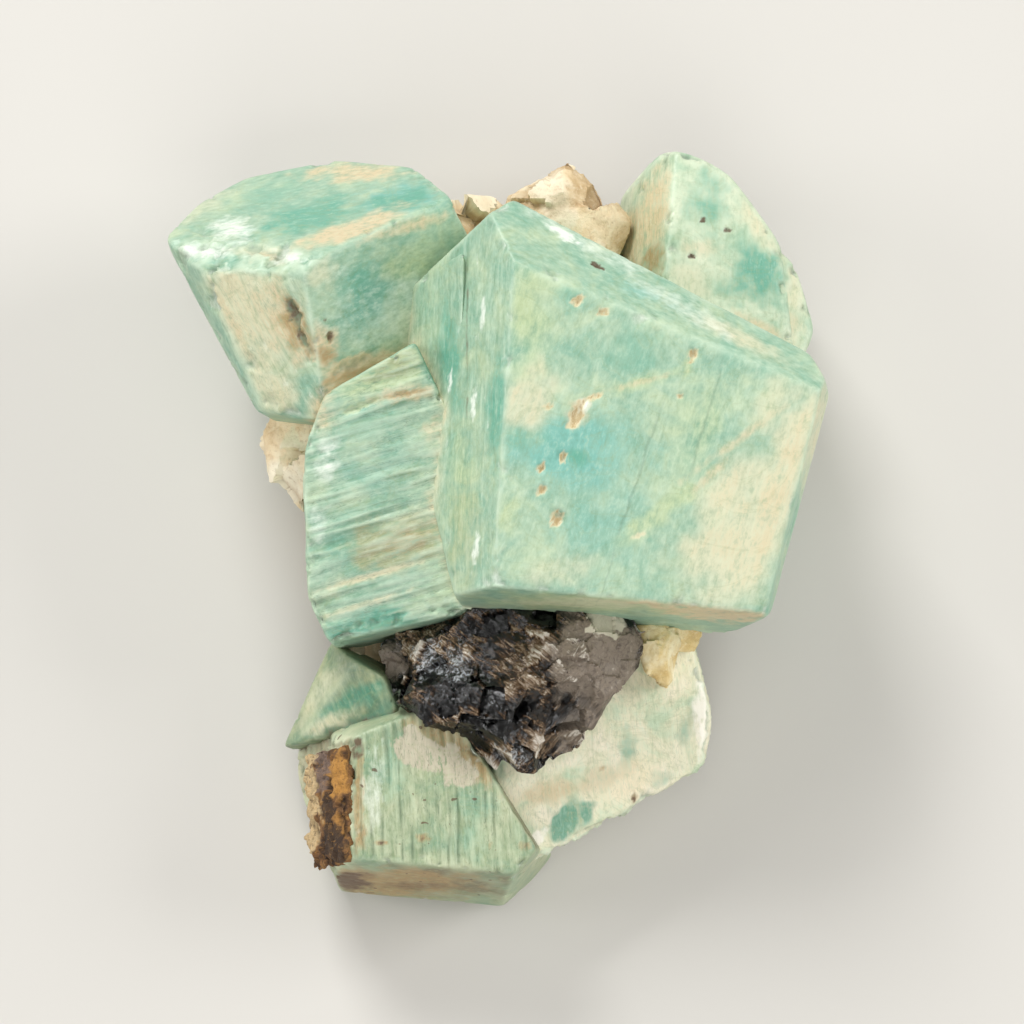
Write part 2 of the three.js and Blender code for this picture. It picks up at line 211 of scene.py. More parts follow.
def smoothStep(low, high, values):
    # from 0 at low to 1 at high, which may be the smaller of the two
    share = np.clip((values - low) / (high - low), 0, 1)
    return share * share * (3 - 2 * share)


def brokenFacets(points, size, tilt, seed):
    # the height of a surface broken in flat flakes: every point belongs to the nearest of a set of
    # scattered flakes, and each flake leans its own way
    random = np.random.default_rng(seed)
    places = random.random((flakeCount, 3))
    leans = random.normal(size=(flakeCount, 3)) * tilt
    scaled = points / size
    cell = np.floor(scaled).astype(int)
    best = np.full(len(points), np.inf)
    height = np.zeros(len(points))
    for step in itertools.product((-1, 0, 1), repeat=3):
        near = cell + step
        number = (near @ cellPrimes) & (flakeCount - 1)
        away = scaled - near - places[number]
        reach = (away ** 2).sum(1)
        closer = reach < best
        best = np.where(closer, reach, best)
        lean = (away * leans[number]).sum(1) + 0.5 * leans[number][:, 0]
        height = np.where(closer, lean, height)
    return height * size


# shapes

tolerance = {
    "parallel": 1e-6,         # determinant of three face directions that meet in no one point
    "touching": 1e-3,         # mm that a corner may stand out of another face
    "sameCorner": 0.01,       # mm between two corners that are one
    "onWall": 1e-6,           # mm between a point and the wall of a hollow that it lies on
}


def flatFaces(form):
    # the outward direction and offset of each flat face
    inside = np.array(form["inside"], float)
    normals = []
    offsets = []
    for corners in form["faces"].values():
        a, b, c = np.array(corners, float)
        normal = np.cross(b - a, c - a)
        normal /= np.linalg.norm(normal)
        if normal @ (inside - a) > 0:
            normal = -normal
        normals.append(normal)
        offsets.append(normal @ a)
    return np.array(normals), np.array(offsets) - form.get("sink", 0)


def meetingCorners(normals, offsets):
    # the corners of the solid behind all the faces: where three meet and no other cuts them off
    corners = []
    for i, j, k in itertools.combinations(range(len(normals)), 3):
        three = [i, j, k]
        if abs(np.linalg.det(normals[three])) < tolerance["parallel"]:
            continue
        point = np.linalg.solve(normals[three], offsets[three])
        if (normals @ point - offsets).max() < tolerance["touching"]:
            corners.append(point)
    return corners


def fineMesh(name, hulls, voxel):
    # the hulls joined in one closed skin of small even squares
    form = bmesh.new()
    for corners in hulls:
        points = [form.verts.new(corner) for corner in corners]
        bmesh.ops.remove_doubles(form, verts=points, dist=tolerance["sameCorner"])
        points = [point for point in points if point.is_valid]
        hull = bmesh.ops.convex_hull(form, input=points)
        spare = hull["geom_interior"] + hull["geom_unused"]
        spare = {part for part in spare if isinstance(part, bmesh.types.BMVert)}
        bmesh.ops.delete(form, geom=list(spare), context="VERTS")
    bmesh.ops.recalc_face_normals(form, faces=form.faces)
    rough = bpy.data.meshes.new(name + "Hull")
    form.to_mesh(rough)
    form.free()
    holder = bpy.data.objects.new(name + "Hull", rough)
    bpy.context.scene.collection.objects.link(holder)
    remesh = holder.modifiers.new("skin", "REMESH")
    remesh.mode = "VOXEL"
    remesh.voxel_size = voxel
    shaped = holder.evaluated_get(bpy.context.evaluated_depsgraph_get())
    mesh = bpy.data.meshes.new_from_object(shaped)
    mesh.name = name
    bpy.data.objects.remove(holder)
    bpy.data.meshes.remove(rough)
    return mesh


def meshPoints(mesh):
    points = np.empty(len(mesh.vertices) * 3)
    mesh.vertices.foreach_get("co", points)
    return points.reshape(-1, 3)


def meshNormals(mesh):
    normals = np.empty(len(mesh.vertices) * 3)
    mesh.vertices.foreach_get("normal", normals)
    return normals.reshape(-1, 3)


def settle(points, normals, offsets, sharpness, rounds=5):
    # moves every point onto the skin of the solid behind all the faces, with its edges a little rounded;
    # hands back the points, each face's share in them, the way out, and the distance to an edge in mm
    for _ in range(rounds):
        heights = points @ normals.T - offsets
        top = heights.max(1, keepdims=True)
        weights = np.exp(sharpness * (heights - top))
        total = weights.sum(1, keepdims=True)
        weights /= total
        value = top[:, 0] + np.log(total[:, 0]) / sharpness
        slope = weights @ normals
        points = points - (value / (slope ** 2).sum(1))[:, None] * slope
    outward = slope / np.linalg.norm(slope, axis=1, keepdims=True)
    ordered = np.sort(heights, axis=1)
    return points, weights, outward, ordered[:, -1] - ordered[:, -2]


def scatterScoops(points, outward, rows, seed):
    # shell shaped hollows where flakes broke off: the centre and radius of the ball that each one follows
    random = np.random.default_rng(seed)
    scoops = []
    for count, (small, large), (shallow, deep), lean in rows:
        for start in random.choice(len(points), count):
            wide = random.uniform(small, large)
            depth = wide * random.uniform(shallow, deep)
            radius = (wide ** 2 + depth ** 2) / (2 * depth)
            direction = outward[start] + lean * random.normal(size=3)
            direction /= np.linalg.norm(direction)
            scoops.append((points[start] + direction * (radius - depth), radius))
    return scoops


def carve(points, scoops, rounds=3):
    # moves every point that lies in a hollow onto its wall, and tells which hollow it ended in
    owner = np.full(len(points), -1)
    for _ in range(rounds):
        for number, (centre, radius) in enumerate(scoops):
            away = points - centre
            reach = np.linalg.norm(away, axis=1)
            inside = reach < radius - tolerance["onWall"]
            points[inside] = centre + away[inside] * (radius / reach[inside])[:, None]
            owner[inside] = number
    return points, owner


def keepNumbers(mesh, name, values):
    mesh.attributes.new(name, "FLOAT", "POINT").data.foreach_set("value", np.asarray(values, np.float32))


def keepVectors(mesh, name, domain, vectors):
    # "spot" is each point's place in the specimen, and "grain" has a vector for each corner of each
    # little square: along the grain, across it and into it, all in mm
    layer = mesh.attributes.new(name, "FLOAT_VECTOR", domain)
    layer.data.foreach_set("vector", np.asarray(vectors, np.float32).ravel())


def cornerPoints(mesh):
    # which point each corner of each little square is
    corner = np.empty(len(mesh.loops), int)
    mesh.loops.foreach_get("vertex_index", corner)
    return corner


def finishPiece(name, mesh, points, material, node, crisp=None):
    # puts the piece in the ground frame, dresses it, and lets it stand for its node
    placed = toGround(points)
    placed[:, 2] = np.maximum(placed[:, 2], 0)     # the small flat spot that it lies on
    mesh.vertices.foreach_set("co", placed.astype(np.float32).ravel())
    mesh.polygons.foreach_set("use_smooth", np.ones(len(mesh.polygons), bool))
    mesh.materials.clear()
    mesh.materials.append(material)
    mesh.update()
    if crisp:
        mesh.set_sharp_from_angle(angle=math.radians(crisp))
    piece = bpy.data.objects.new(name, mesh)
    bpy.context.scene.collection.objects.link(piece)
    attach(piece, "root")
    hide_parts(node)
    print(name, "has", 2 * len(mesh.polygons), "triangles")    # every face has four sides


# the crystals' faces

# what each kind of face shows: how strong its streaks of colour are, and then heights and sizes in mm
finishes = {
    "satin": {"streaky": 0.35, "swell": (0.14, 8.0), "streak": (0.02, 9.0, 1.2)},
    "veined": {"streaky": 0.65, "swell": (0.14, 8.0), "streak": (0.05, 10.0, 1.0)},
    "ribbed": {
        "streaky": 0.7, "swell": (0.14, 7.0), "streak": (0.07, 16.0, 0.9), "ridge": (0.06, 14.0, 1.4),
        "flecks": 0.3,
    },
    "striated": {
        "streaky": 0.9, "swell": (0.18, 7.0), "streak": (0.06, 9.0, 0.7), "ridge": (0.42, 15.0, 1.5),
    },
    "grooved": {
        "streaky": 0.9, "swell": (0.14, 6.0), "groove": (1.30, 0.50), "streak": (0.08, 10.0, 0.8),
    },
    "broken": {"streaky": 0.3, "swell": (0.25, 4.0), "flakes": (2.2, 0.22), "grit": (0.08, 0.8)},
    "sugary": {"streaky": 0.1, "swell": (0.25, 3.0), "grit": (0.40, 1.0)},
}


# how the crests and grooves of growth are shaped, in mm where nothing else is said
growth = {
    "crestWidth": 0.20,           # share of the noise's height
    "crestFoot": 0.4,             # share of the crest's height that lies under the flat face
    "crestMiddle": 0.7,           # how high the crests are on the whole, as a share
    "crestPatches": (7, 3, 4),    # how soon they grow higher or lower: along, across and into the grain
    "grooveWaver": 0.5,           # share of the space between two grooves
    "grooveBend": (10, 3, 4),
    "grooveFades": (7, 2.5, 4),
    "grooveFaint": (-0.5, 0.1),   # heights of the noise between which a groove fades in
    "grooveSizes": (0.45, 0.8),   # least depth and what chance adds to it, as shares of the full depth
    "grooveWidth": 0.50,          # share of the space between two grooves
    "grooveRim": 0.3,             # share of the groove's depth that its rims stand up
}


def markScale(local, length, width):
    # the points on the scale of long thin marks that run with the grain and three widths deep
    return local / (length, width, 3 * width)


def relief(finish, local, seed):
    # how far the finish stands above the flat face, for points given along, across and into the grain
    height = np.zeros(len(local))
    if "swell" in finish:
        high, size = finish["swell"]
        height += high * layeredNoise(local / size, seed)
    if "streak" in finish:
        high, length, width = finish["streak"]
        height += high * layeredNoise(markScale(local, length, width), seed + 5)
    if "ridge" in finish:
        # crests where the noise passes zero: long, forked and uneven
        high, length, width = finish["ridge"]
        crest = np.abs(gradientNoise(markScale(local, length, width), seed + 9))
        uneven = growth["crestMiddle"] + gradientNoise(local / growth["crestPatches"], seed + 11)
        height += high * uneven * (np.exp(-(crest / growth["crestWidth"]) ** 2) - growth["crestFoot"])
    if "groove" in finish:
        pitch, high = finish["groove"]
        bend = growth["grooveWaver"] * gradientNoise(local / growth["grooveBend"], seed + 15)
        level = local[:, 1] / pitch + bend
        step = np.floor(level)
        away = np.abs(level - step - 0.5) * 2
        least, spread = growth["grooveSizes"]
        size = least + spread * evenRandom(step, seed + 16)
        faint = gradientNoise(local / growth["grooveFades"], seed + 17)
        fade = smoothStep(*growth["grooveFaint"], faint)
        groove = np.exp(-(away / growth["grooveWidth"]) ** 2) - growth["grooveRim"]
        height -= high * size * fade * groove
    if "flakes" in finish:
        size, tilt = finish["flakes"]
        height += brokenFacets(local, size, tilt, seed + 19)
    if "grit" in finish:
        high, size = finish["grit"]
        height += high * (0.5 - 2 * np.abs(gradientNoise(local / size, seed + 21)))
        height += 0.5 * high * gradientNoise(local / (0.5 * size), seed + 22)
    return height


# how ragged the rims of blots are, as shares of the blot's half size
ragging = {
    "size": 0.7,
    "high": 0.75,
    "limit": 2.5,             # nothing ragged is worked out past this reach
}


def blotReach(points, place, size, angle, seed):
    # 0 in the middle of an oval blot and 1 at its rim, which is made ragged on the blot's own scale
    turn = math.radians(angle)
    dx = points[:, 0] - place[0]
    dy = points[:, 1] - place[1]
    reach = np.hypot(
        (dx * math.cos(turn) + dy * math.sin(turn)) / size[0],
        (dy * math.cos(turn) - dx * math.sin(turn)) / size[1],
    )
    near = reach < ragging["limit"]
    scale = ragging["size"] * math.sqrt(size[0] * size[1])
    reach[near] += ragging["high"] * layeredNoise(points[near] / scale, seed, 4)
    return reach


def grainFrames(form, normals):
    # for each face: the direction of its streaks, the direction across them, and its normal
    frames = []
    for face, normal in zip(form["faces"], normals):
        along = np.array(form["streaks"].get(face, form["streaks"]["rest"]), float)
        along -= normal * (along @ normal)
        along /= np.linalg.norm(along)
        frames.append(np.array([along, np.cross(normal, along), normal]))
    return np.array(frames)


# how the crystals are worn and marked, in mm where nothing else is said
wear = {
    "chipStarts": (0.10, 0.45),   # heights of the noise
    "chipReach": 1.2,             # from the edge
    "chipFlakes": (1.3, 0.4),     # size and tilt
    "chipRough": 0.4,             # share of the chip's depth
    "chipFrost": 0.45,            # how white a chip is, from 0 to 1
    "fleckSize": (2.4, 0.7, 1.2),
    "fleckStarts": (0.36, 0.46),  # heights of the noise
    "patchRim": (1.5, 0.1),       # from the rim to full colour, as shares of the half size
    "pitColourRim": (1.3, 0.7),
    "pitRim": (1.1, 0.5),
    "crumbSize": 0.8,
    "greySmooth": 0.85,           # how far a grey crust fills the relief under it
    "seamWidth": 1.0,
    "seamPatches": 3.0,
    # the painted highlight along the edges: its width, and the size of the patches in which it is
    # stronger
    "edgeHighlightWidth": 0.7,
    "edgeHighlightPatchSize": 5.0,
    "nearFace": 0.02,             # a face's share in a point from which its finish is worked out
    "faceShift": 40.0,            # between the grains of two faces, so that their colours differ
}


def finishFaces(form, points, weights, frames, tones):
    # the relief, the streaks and the pale flecks of each face, which fade into the next face's
    lift = np.zeros(len(points))
    streaky = np.zeros(len(points))
    for i, face in enumerate(form["faces"]):
        near = weights[:, i] > wear["nearFace"]
        finish = finishes[form["finish"].get(face, form["finish"]["rest"])]
        local = points[near] @ frames[i].T
        seed = form["seed"] + 31 * i    # so that no two faces look alike
        lift[near] += weights[near, i] * relief(finish, local, seed)
        streaky += weights[:, i] * finish["streaky"]
        if "flecks" in finish:
            spots = gradientNoise(local / wear["fleckSize"], seed + 25)
            flecks = smoothStep(*wear["fleckStarts"], spots)
            tones["frostAndPaintedLight"][near] += finish["flecks"] * weights[near, i] * flecks
    return lift, streaky


def chipEdges(form, points, edgeGap, tones, lift):
    # small flakes broken off along the edges, paler than the faces
    deep, size = form["chips"]
    noise = layeredNoise(points / size, form["seed"] + 3)
    chipped = smoothStep(*wear["chipStarts"], noise) * np.exp(-edgeGap / wear["chipReach"])
    flakes = wear["chipRough"] * brokenFacets(points, *wear["chipFlakes"], form["seed"] + 8)
    lift -= deep * chipped * (1 + flakes)
    tones["frostAndPaintedLight"] += wear["chipFrost"] * chipped


def paintPatches(form, points, weights, tones):
    # patches of colour, each on one face
    faces = list(form["faces"])
    for number, (tone, face, place, size, angle, strength) in enumerate(form["patches"]):
        reach = blotReach(points, place, size, angle, form["seed"] + number)
        blot = strength * smoothStep(*wear["patchRim"], reach)
        tones[tone] = np.maximum(tones[tone], blot * weights[:, faces.index(face)])


def sinkPits(form, points, weights, tones, lift):
    # shallow pits full of pale crumbs
    faces = list(form["faces"])
    for number, (tone, face, place, size, angle, depth) in enumerate(form.get("pits", [])):
        onFace = weights[:, faces.index(face)]
        reach = blotReach(points, place, size, angle, form["seed"] + 100 + number)
        crumbs = 0.5 * np.abs(gradientNoise(points / wear["crumbSize"], form["seed"] + 7))
        lift -= smoothStep(*wear["pitRim"], reach) * onFace * (depth - crumbs)
        tones[tone] = np.maximum(tones[tone], smoothStep(*wear["pitColourRim"], reach) * onFace)


def stainSeams(form, points, tones):
    # stains where another crystal comes out of this one; a band in the dark dirt tone is partly a dark
    # joint and partly painted shade in the crevice
    for other, tone, strength in form.get("meets", []):
        normals, offsets = flatFaces(other)
        gap = np.abs((points @ normals.T - offsets).max(1))
        uneven = 0.8 + 0.8 * layeredNoise(points / wear["seamPatches"], form["seed"] + 4)
        seam = strength * np.exp(-gap / wear["seamWidth"]) * uneven
        tones[tone] = np.maximum(tones[tone], seam)


def grainPlaces(mesh, points, normals, offsets, frames):
    # for each corner of each little square, its place along, across and into the grain of the face
    # that the square lies on
    corner = cornerPoints(mesh)
    count = len(mesh.polygons)
    sides = np.empty(count, int)
    mesh.polygons.foreach_get("loop_total", sides)
    square = np.repeat(np.arange(count), sides)
    middle = np.zeros((count, 3))
    np.add.at(middle, square, points[corner])
    middle /= sides[:, None]
    owner = (middle @ normals.T - offsets).argmax(1)[square]
    return np.einsum("nij,nj->ni", frames[owner], points[corner]) + wear["faceShift"] * owner[:, None]


def buildCrystal(form, material):
    # an even skin on the flat faces of one crystal, then all that grew, broke off or settled on it
    normals, offsets = flatFaces(form)
    frames = grainFrames(form, normals)
    mesh = fineMesh(form["name"], [meetingCorners(normals, offsets)], form["voxel"])
    points, weights, outward, edgeGap = settle(meshPoints(mesh), normals, offsets, form["sharpness"])
    tones = {tone: np.zeros(len(points)) for tone in patchTones}
    lift, streaky = finishFaces(form, points, weights, frames, tones)
    chipEdges(form, points, edgeGap, tones, lift)
    paintPatches(form, points, weights, tones)
    lift *= 1 - wear["greySmooth"] * np.clip(tones["grey"], 0, 1)
    sinkPits(form, points, weights, tones, lift)
    stainSeams(form, points, tones)

    keepVectors(mesh, "spot", "POINT", points)
    points = points + lift[:, None] * outward
    for tone in patchTones:
        keepNumbers(mesh, tone, np.clip(tones[tone], 0, 1))
    # paler along every edge: a painted highlight, stronger in some patches than in others
    edgeHighlightPatches = 0.75 + layeredNoise(points / wear["edgeHighlightPatchSize"], form["seed"] + 6)
    keepNumbers(mesh, "edge", np.exp(-edgeGap / wear["edgeHighlightWidth"]) * edgeHighlightPatches)
    keepNumbers(mesh, "relief", lift)
    keepNumbers(mesh, "streaky", streaky)
    keepVectors(mesh, "grain", "CORNER", grainPlaces(mesh, points, normals, offsets, frames))
    finishPiece(form["name"], mesh, points, material, form["node"])


# materials

def makePatterns(tree, look):
    # Noise for each row of look["patterns"], and the numbers kept on the mesh under look["kept"].
    # A row has the vector that it follows, its size in mm, detail, roughness and distortion.
    places = {}
    for name in ("grain", "spot"):
        places[name] = addNode(tree, "Attribute", {"attribute_name": name}, out="Vector")
    values = {}
    for name in look["kept"]:
        values[name] = addNode(tree, "Attribute", {"attribute_name": name}, out="Fac")
    for name, (frameName, size, detail, rough, bent) in look["patterns"].items():
        settings = {"operation": "MULTIPLY", "Vector_001": [1 / side for side in size]}
        place = addNode(tree, "VectorMath", settings, {"Vector": places[frameName]}, out="Vector")
        settings = {"Scale": 1.0, "Detail": detail, "Roughness": rough, "Distortion": bent}
        values[name] = addNode(tree, "TexNoise", settings, {"Vector": place}, out="Fac")
    return values


def paintLayers(tree, look, values):
    # starts from the base colour and lays each row's colour over the last one:
    # colour, what it follows, from and to where it comes in, how strong, and how it is mixed in
    colour = None
    for tone, follows, low, high, strength, *mixed in look["layers"]:
        if follows not in values:    # a look with no clefts has nothing for the row to follow
            continue
        settings = {"From Min": low, "From Max": high, "To Max": strength}
        share = addNode(tree, "MapRange", settings, {"Value": values[follows]}, out="Result")
        settings = {"data_type": "RGBA", "B_Color": linear(look["tones"][tone])}
        settings["blend_type"] = mixed[0] if mixed else "MIX"
        links = {"Factor_Float": share}
        if colour:
            links["A_Color"] = colour
        else:
            settings["A_Color"] = linear(look["tones"]["base"])
        colour = addNode(tree, "Mix", settings, links, out="Result_Color")
    return colour


def roughen(tree, look, values):
    # adds up the patterns named in look["bumps"] and turns them into a bump
    height = None
    for name, share in look["bumps"].items():
        links = {"Value": values[name]}
        if height:
            links["Value_002"] = height
        settings = {"operation": "MULTIPLY_ADD", "Value_001": share}
        height = addNode(tree, "Math", settings, links, out="Value")
    settings = {"Strength": look["bumpStrength"], "Distance": look["bumpHeight"] / 1000}
    return addNode(tree, "Bump", settings, {"Height": height}, out="Normal")


# the tones that patches and pits can have
patchTones = ("teal", "sky", "moss", "olive", "cream", "tan", "stain", "grey", "frostAndPaintedLight", "dirtAndShade", "crumb")

amazoniteLook = {
    "tones": {
        "base": "9cbaa0",
        "deep": "86b098",
        "light": "b4c7a6",
        "teal": "60a48d",
        "sky": "77b3a5",
        "moss": "b3c397",
        "olive": "a0a47c",
        "cream": "d8d2b1",
        "sand": "cfc19a",
        "tan": "d2c09a",
        "stain": "a88b5c",
        "grey": "bdb49d",
        # the white of frosted spots and chips, also used as painted light on a face that the lamps reach
        # little
        "frostAndPaintedLight": "e9f0e4",
        # dark brown dirt, also used as painted shade on an underside and in a crevice
        "dirtAndShade": "5b422c",
        "pale": "cddfc6",
        "vein": "93a06c",
        "shade": "a8c0ab",
        "ochre": "9c7a40",
        # the dark of the cracks, also the painted shade in grooves and pits
        "crackAndGrooveShade": "5f7a64",
        "crumb": "decfa6",
    },
    "kept": patchTones + ("edge", "relief", "streaky"),
    "patterns": {
        # zones of deeper and paler green, 5 to 8 mm wide
        "clouds": ("spot", (6.0, 6.0, 6.0), 5.0, 0.62, 0.5),
        # wandering bands about 10 mm apart
        "veins": ("spot", (11.0, 8.0, 11.0), 4.0, 0.62, 1.2),
        # threads of albite, really 0.1 to 0.5 mm wide and drawn coarser so that they show
        "streaks": ("grain", (6.5, 0.8, 2.4), 3.0, 0.60, 0.2),
        # milky grains, really about 0.3 mm wide and drawn coarser so that they show
        "mottle": ("grain", (1.2, 0.7, 0.8), 3.0, 0.65, 0.0),
    },
    "layers": [
        ("deep", "clouds", 0.50, 0.34, 1.0),
        ("light", "clouds", 0.50, 0.66, 1.0),
        ("sky", "skyEdge", 0.10, 0.90, 0.95),
        ("teal", "tealEdge", 0.10, 0.90, 0.95),
        ("moss", "mossEdge", 0.10, 0.90, 0.95),
        ("olive", "oliveEdge", 0.10, 0.80, 0.95),
        ("cream", "cream", 0.0, 0.9, 0.65),
        ("cream", "creamEdge", 0.1, 0.9, 0.6),
        ("sand", "sandy", 0.36, 0.54, 0.40),
        ("tan", "tanEdge", 0.10, 0.80, 0.95),
        ("stain", "stainEdge", 0.15, 0.80, 0.9),
        ("pale", "streaked", 0.03, 0.20, 0.50),
        ("shade", "streaked", -0.02, -0.18, 0.5, "MULTIPLY"),
        ("grey", "greyEdge", 0.30, 0.60, 0.95),
        ("vein", "veined", 0.020, 0.0, 0.20),
        ("pale", "mottle", 0.51, 0.72, 0.32),
        ("shade", "mottle", 0.50, 0.28, 0.34, "MULTIPLY"),
        ("crackAndGrooveShade", "hairline", 0.3, 1.0, 0.6),
        ("crackAndGrooveShade", "cleft", 0.0, 1.0, 0.7),
        # painted shade in the grooves and pits, darker the deeper they are, and a painted highlight on
        # the raised ridges
        ("crackAndGrooveShade", "relief", -0.10, -0.60, 0.75),
        ("pale", "relief", 0.06, 0.30, 0.55),
        # a painted highlight along every edge
        ("pale", "edge", 0.30, 1.0, 0.45),
        ("frostAndPaintedLight", "frostAndPaintedLightEdge", 0.15, 0.80, 0.85),
        ("crumb", "crumbEdge", 0.25, 1.0, 0.85),
        ("ochre", "grit", 0.40, 0.60, 0.65),
        ("dirtAndShade", "dirtAndShadeEdge", 0.20, 0.80, 0.9),
    ],
    # what breaks up the rims of the patches, and the share of them that is left or added
    "raggedBy": {"mottle": 1.2, "streaked": 1.5},
    "ragged": {"From Min": 0.7, "From Max": 1.5, "To Min": 0.35, "To Max": 1.65},
    "hairWidth": 0.022,           # height of the streaks' noise that a dark hairline takes
    # dark cleavage cracks: from and to in mm, width in mm, strength
    "clefts": [],
    "cleftWaver": 1.6,            # mm that they wander from side to side
    "cleftFade": (0.1, 0.3),      # shares of their width and length that stay at full strength
    "bumps": {"streaks": 0.6, "mottle": 0.35},
    "bumpStrength": 0.7,
    "bumpHeight": 0.16,           # mm
    "roughness": (0.36, 0.54),    # where the mottle is darkest and palest
    "ior": 1.53,
}


def sheetCracks(tree, look, values):
    # each crack is a thin wavering sheet through the crystal that fades at its two ends
    spot = addNode(tree, "Attribute", {"attribute_name": "spot"}, out="Vector")
    darkest = None
    for start, end, wide, strength in look["clefts"]:
        long = math.dist(start, end)
        along = ((end[0] - start[0]) / long, (end[1] - start[1]) / long, 0)
        across = (along[1], -along[0], 0)
        offset = across[0] * start[0] + across[1] * start[1]
        middle = along[0] * (start[0] + end[0]) / 2 + along[1] * (start[1] + end[1]) / 2
        core, run = look["cleftFade"]
        bands = (
            (across, offset, wide, core * wide, strength),
            (along, middle, long / 2, run * long, 1.0),
        )
        shares = []
        for direction, centre, low, high, strongest in bands:
            settings = {"operation": "DOT_PRODUCT", "Vector_001": direction}
            away = addNode(tree, "VectorMath", settings, {"Vector": spot}, out="Value")
            settings = {"operation": "MULTIPLY_ADD", "Value_001": look["cleftWaver"]}
            links = {"Value": values["clouds"], "Value_002": away}
            away = addNode(tree, "Math", settings, links, out="Value")
            settings = {"operation": "SUBTRACT", "Value_001": centre + look["cleftWaver"] / 2}
            away = addNode(tree, "Math", settings, {"Value": away}, out="Value")
            away = addNode(tree, "Math", {"operation": "ABSOLUTE"}, {"Value": away}, out="Value")
            settings = {"From Min": low, "From Max": high, "To Max": strongest}
            shares.append(addNode(tree, "MapRange", settings, {"Value": away}, out="Result"))
        links = {"Value": shares[0], "Value_001": shares[1]}
        share = addNode(tree, "Math", {"operation": "MULTIPLY"}, links, out="Value")
        if darkest:
            links = {"Value": darkest, "Value_001": share}
            share = addNode(tree, "Math", {"operation": "MAXIMUM"}, links, out="Value")
        darkest = share
    return darkest


def grownAmazonite(name, changes):
    # Green potassium feldspar with natural crystal faces. Soft clouds, pale streaks of albite and
    # a fine mottle give it its milky depth, and the faces have a satin gloss.
    # changes has the parts of the look in which this crystal differs from the others.
    look = {**amazoniteLook, **changes}
    look["tones"] = {**amazoniteLook["tones"], **look["tones"]}
    material, tree = newMaterial(name)
    values = makePatterns(tree, look)

    # streaks are as strong as the face is streaky
    middle = {"operation": "SUBTRACT", "Value_001": 0.5}
    streaks = addNode(tree, "Math", middle, {"Value": values["streaks"]}, out="Value")
    links = {"Value": streaks, "Value_001": values["streaky"]}
    values["streaked"] = addNode(tree, "Math", {"operation": "MULTIPLY"}, links, out="Value")

    # patches of other colour are broken up by the veins, the mottle and the streaks
    ragged = values["veins"]
    for part, share in look["raggedBy"].items():
        settings = {"operation": "MULTIPLY_ADD", "Value_001": share}
        links = {"Value": values[part], "Value_002": ragged}
        ragged = addNode(tree, "Math", settings, links, out="Value")
    ragged = addNode(tree, "MapRange", look["ragged"], {"Value": ragged}, out="Result")
    for tone in patchTones:
        links = {"Value": values[tone], "Value_001": ragged}
        values[tone + "Edge"] = addNode(tree, "Math", {"operation": "MULTIPLY"}, links, out="Value")

    # dark hairlines lie where the streaks pass their middle
    settings = {"From Min": look["hairWidth"], "From Max": 0.0}
    hair = addNode(tree, "Math", {"operation": "ABSOLUTE"}, {"Value": streaks}, out="Value")
    hair = addNode(tree, "MapRange", settings, {"Value": hair}, out="Result")
    pairs = (
        ("hairline", hair, values["streaky"]),
        ("sandy", values["creamEdge"], values["streaks"]),
        ("grit", values["crumb"], values["mottle"]),
    )
    for result, first, second in pairs:
        links = {"Value": first, "Value_001": second}
        values[result] = addNode(tree, "Math", {"operation": "MULTIPLY"}, links, out="Value")

    # thin wandering veins lie where the vein pattern passes its middle
    veins = addNode(tree, "Math", middle, {"Value": values["veins"]}, out="Value")
    values["veined"] = addNode(tree, "Math", {"operation": "ABSOLUTE"}, {"Value": veins}, out="Value")
    if look["clefts"]:
        values["cleft"] = sheetCracks(tree, look, values)

    smooth, dull = look["roughness"]
    gloss = {"From Min": 0.3, "From Max": 0.7, "To Min": smooth, "To Max": dull}
    links = {
        "Base Color": paintLayers(tree, look, values),
        "Roughness": addNode(tree, "MapRange", gloss, {"Value": values["mottle"]}, out="Result"),
        "Normal": roughen(tree, look, values),
    }
    surface = addNode(tree, "BsdfPrincipled", {"IOR": look["ior"]}, links, out="BSDF")
    addNode(tree, "OutputMaterial", links={"Surface": surface})
    return material


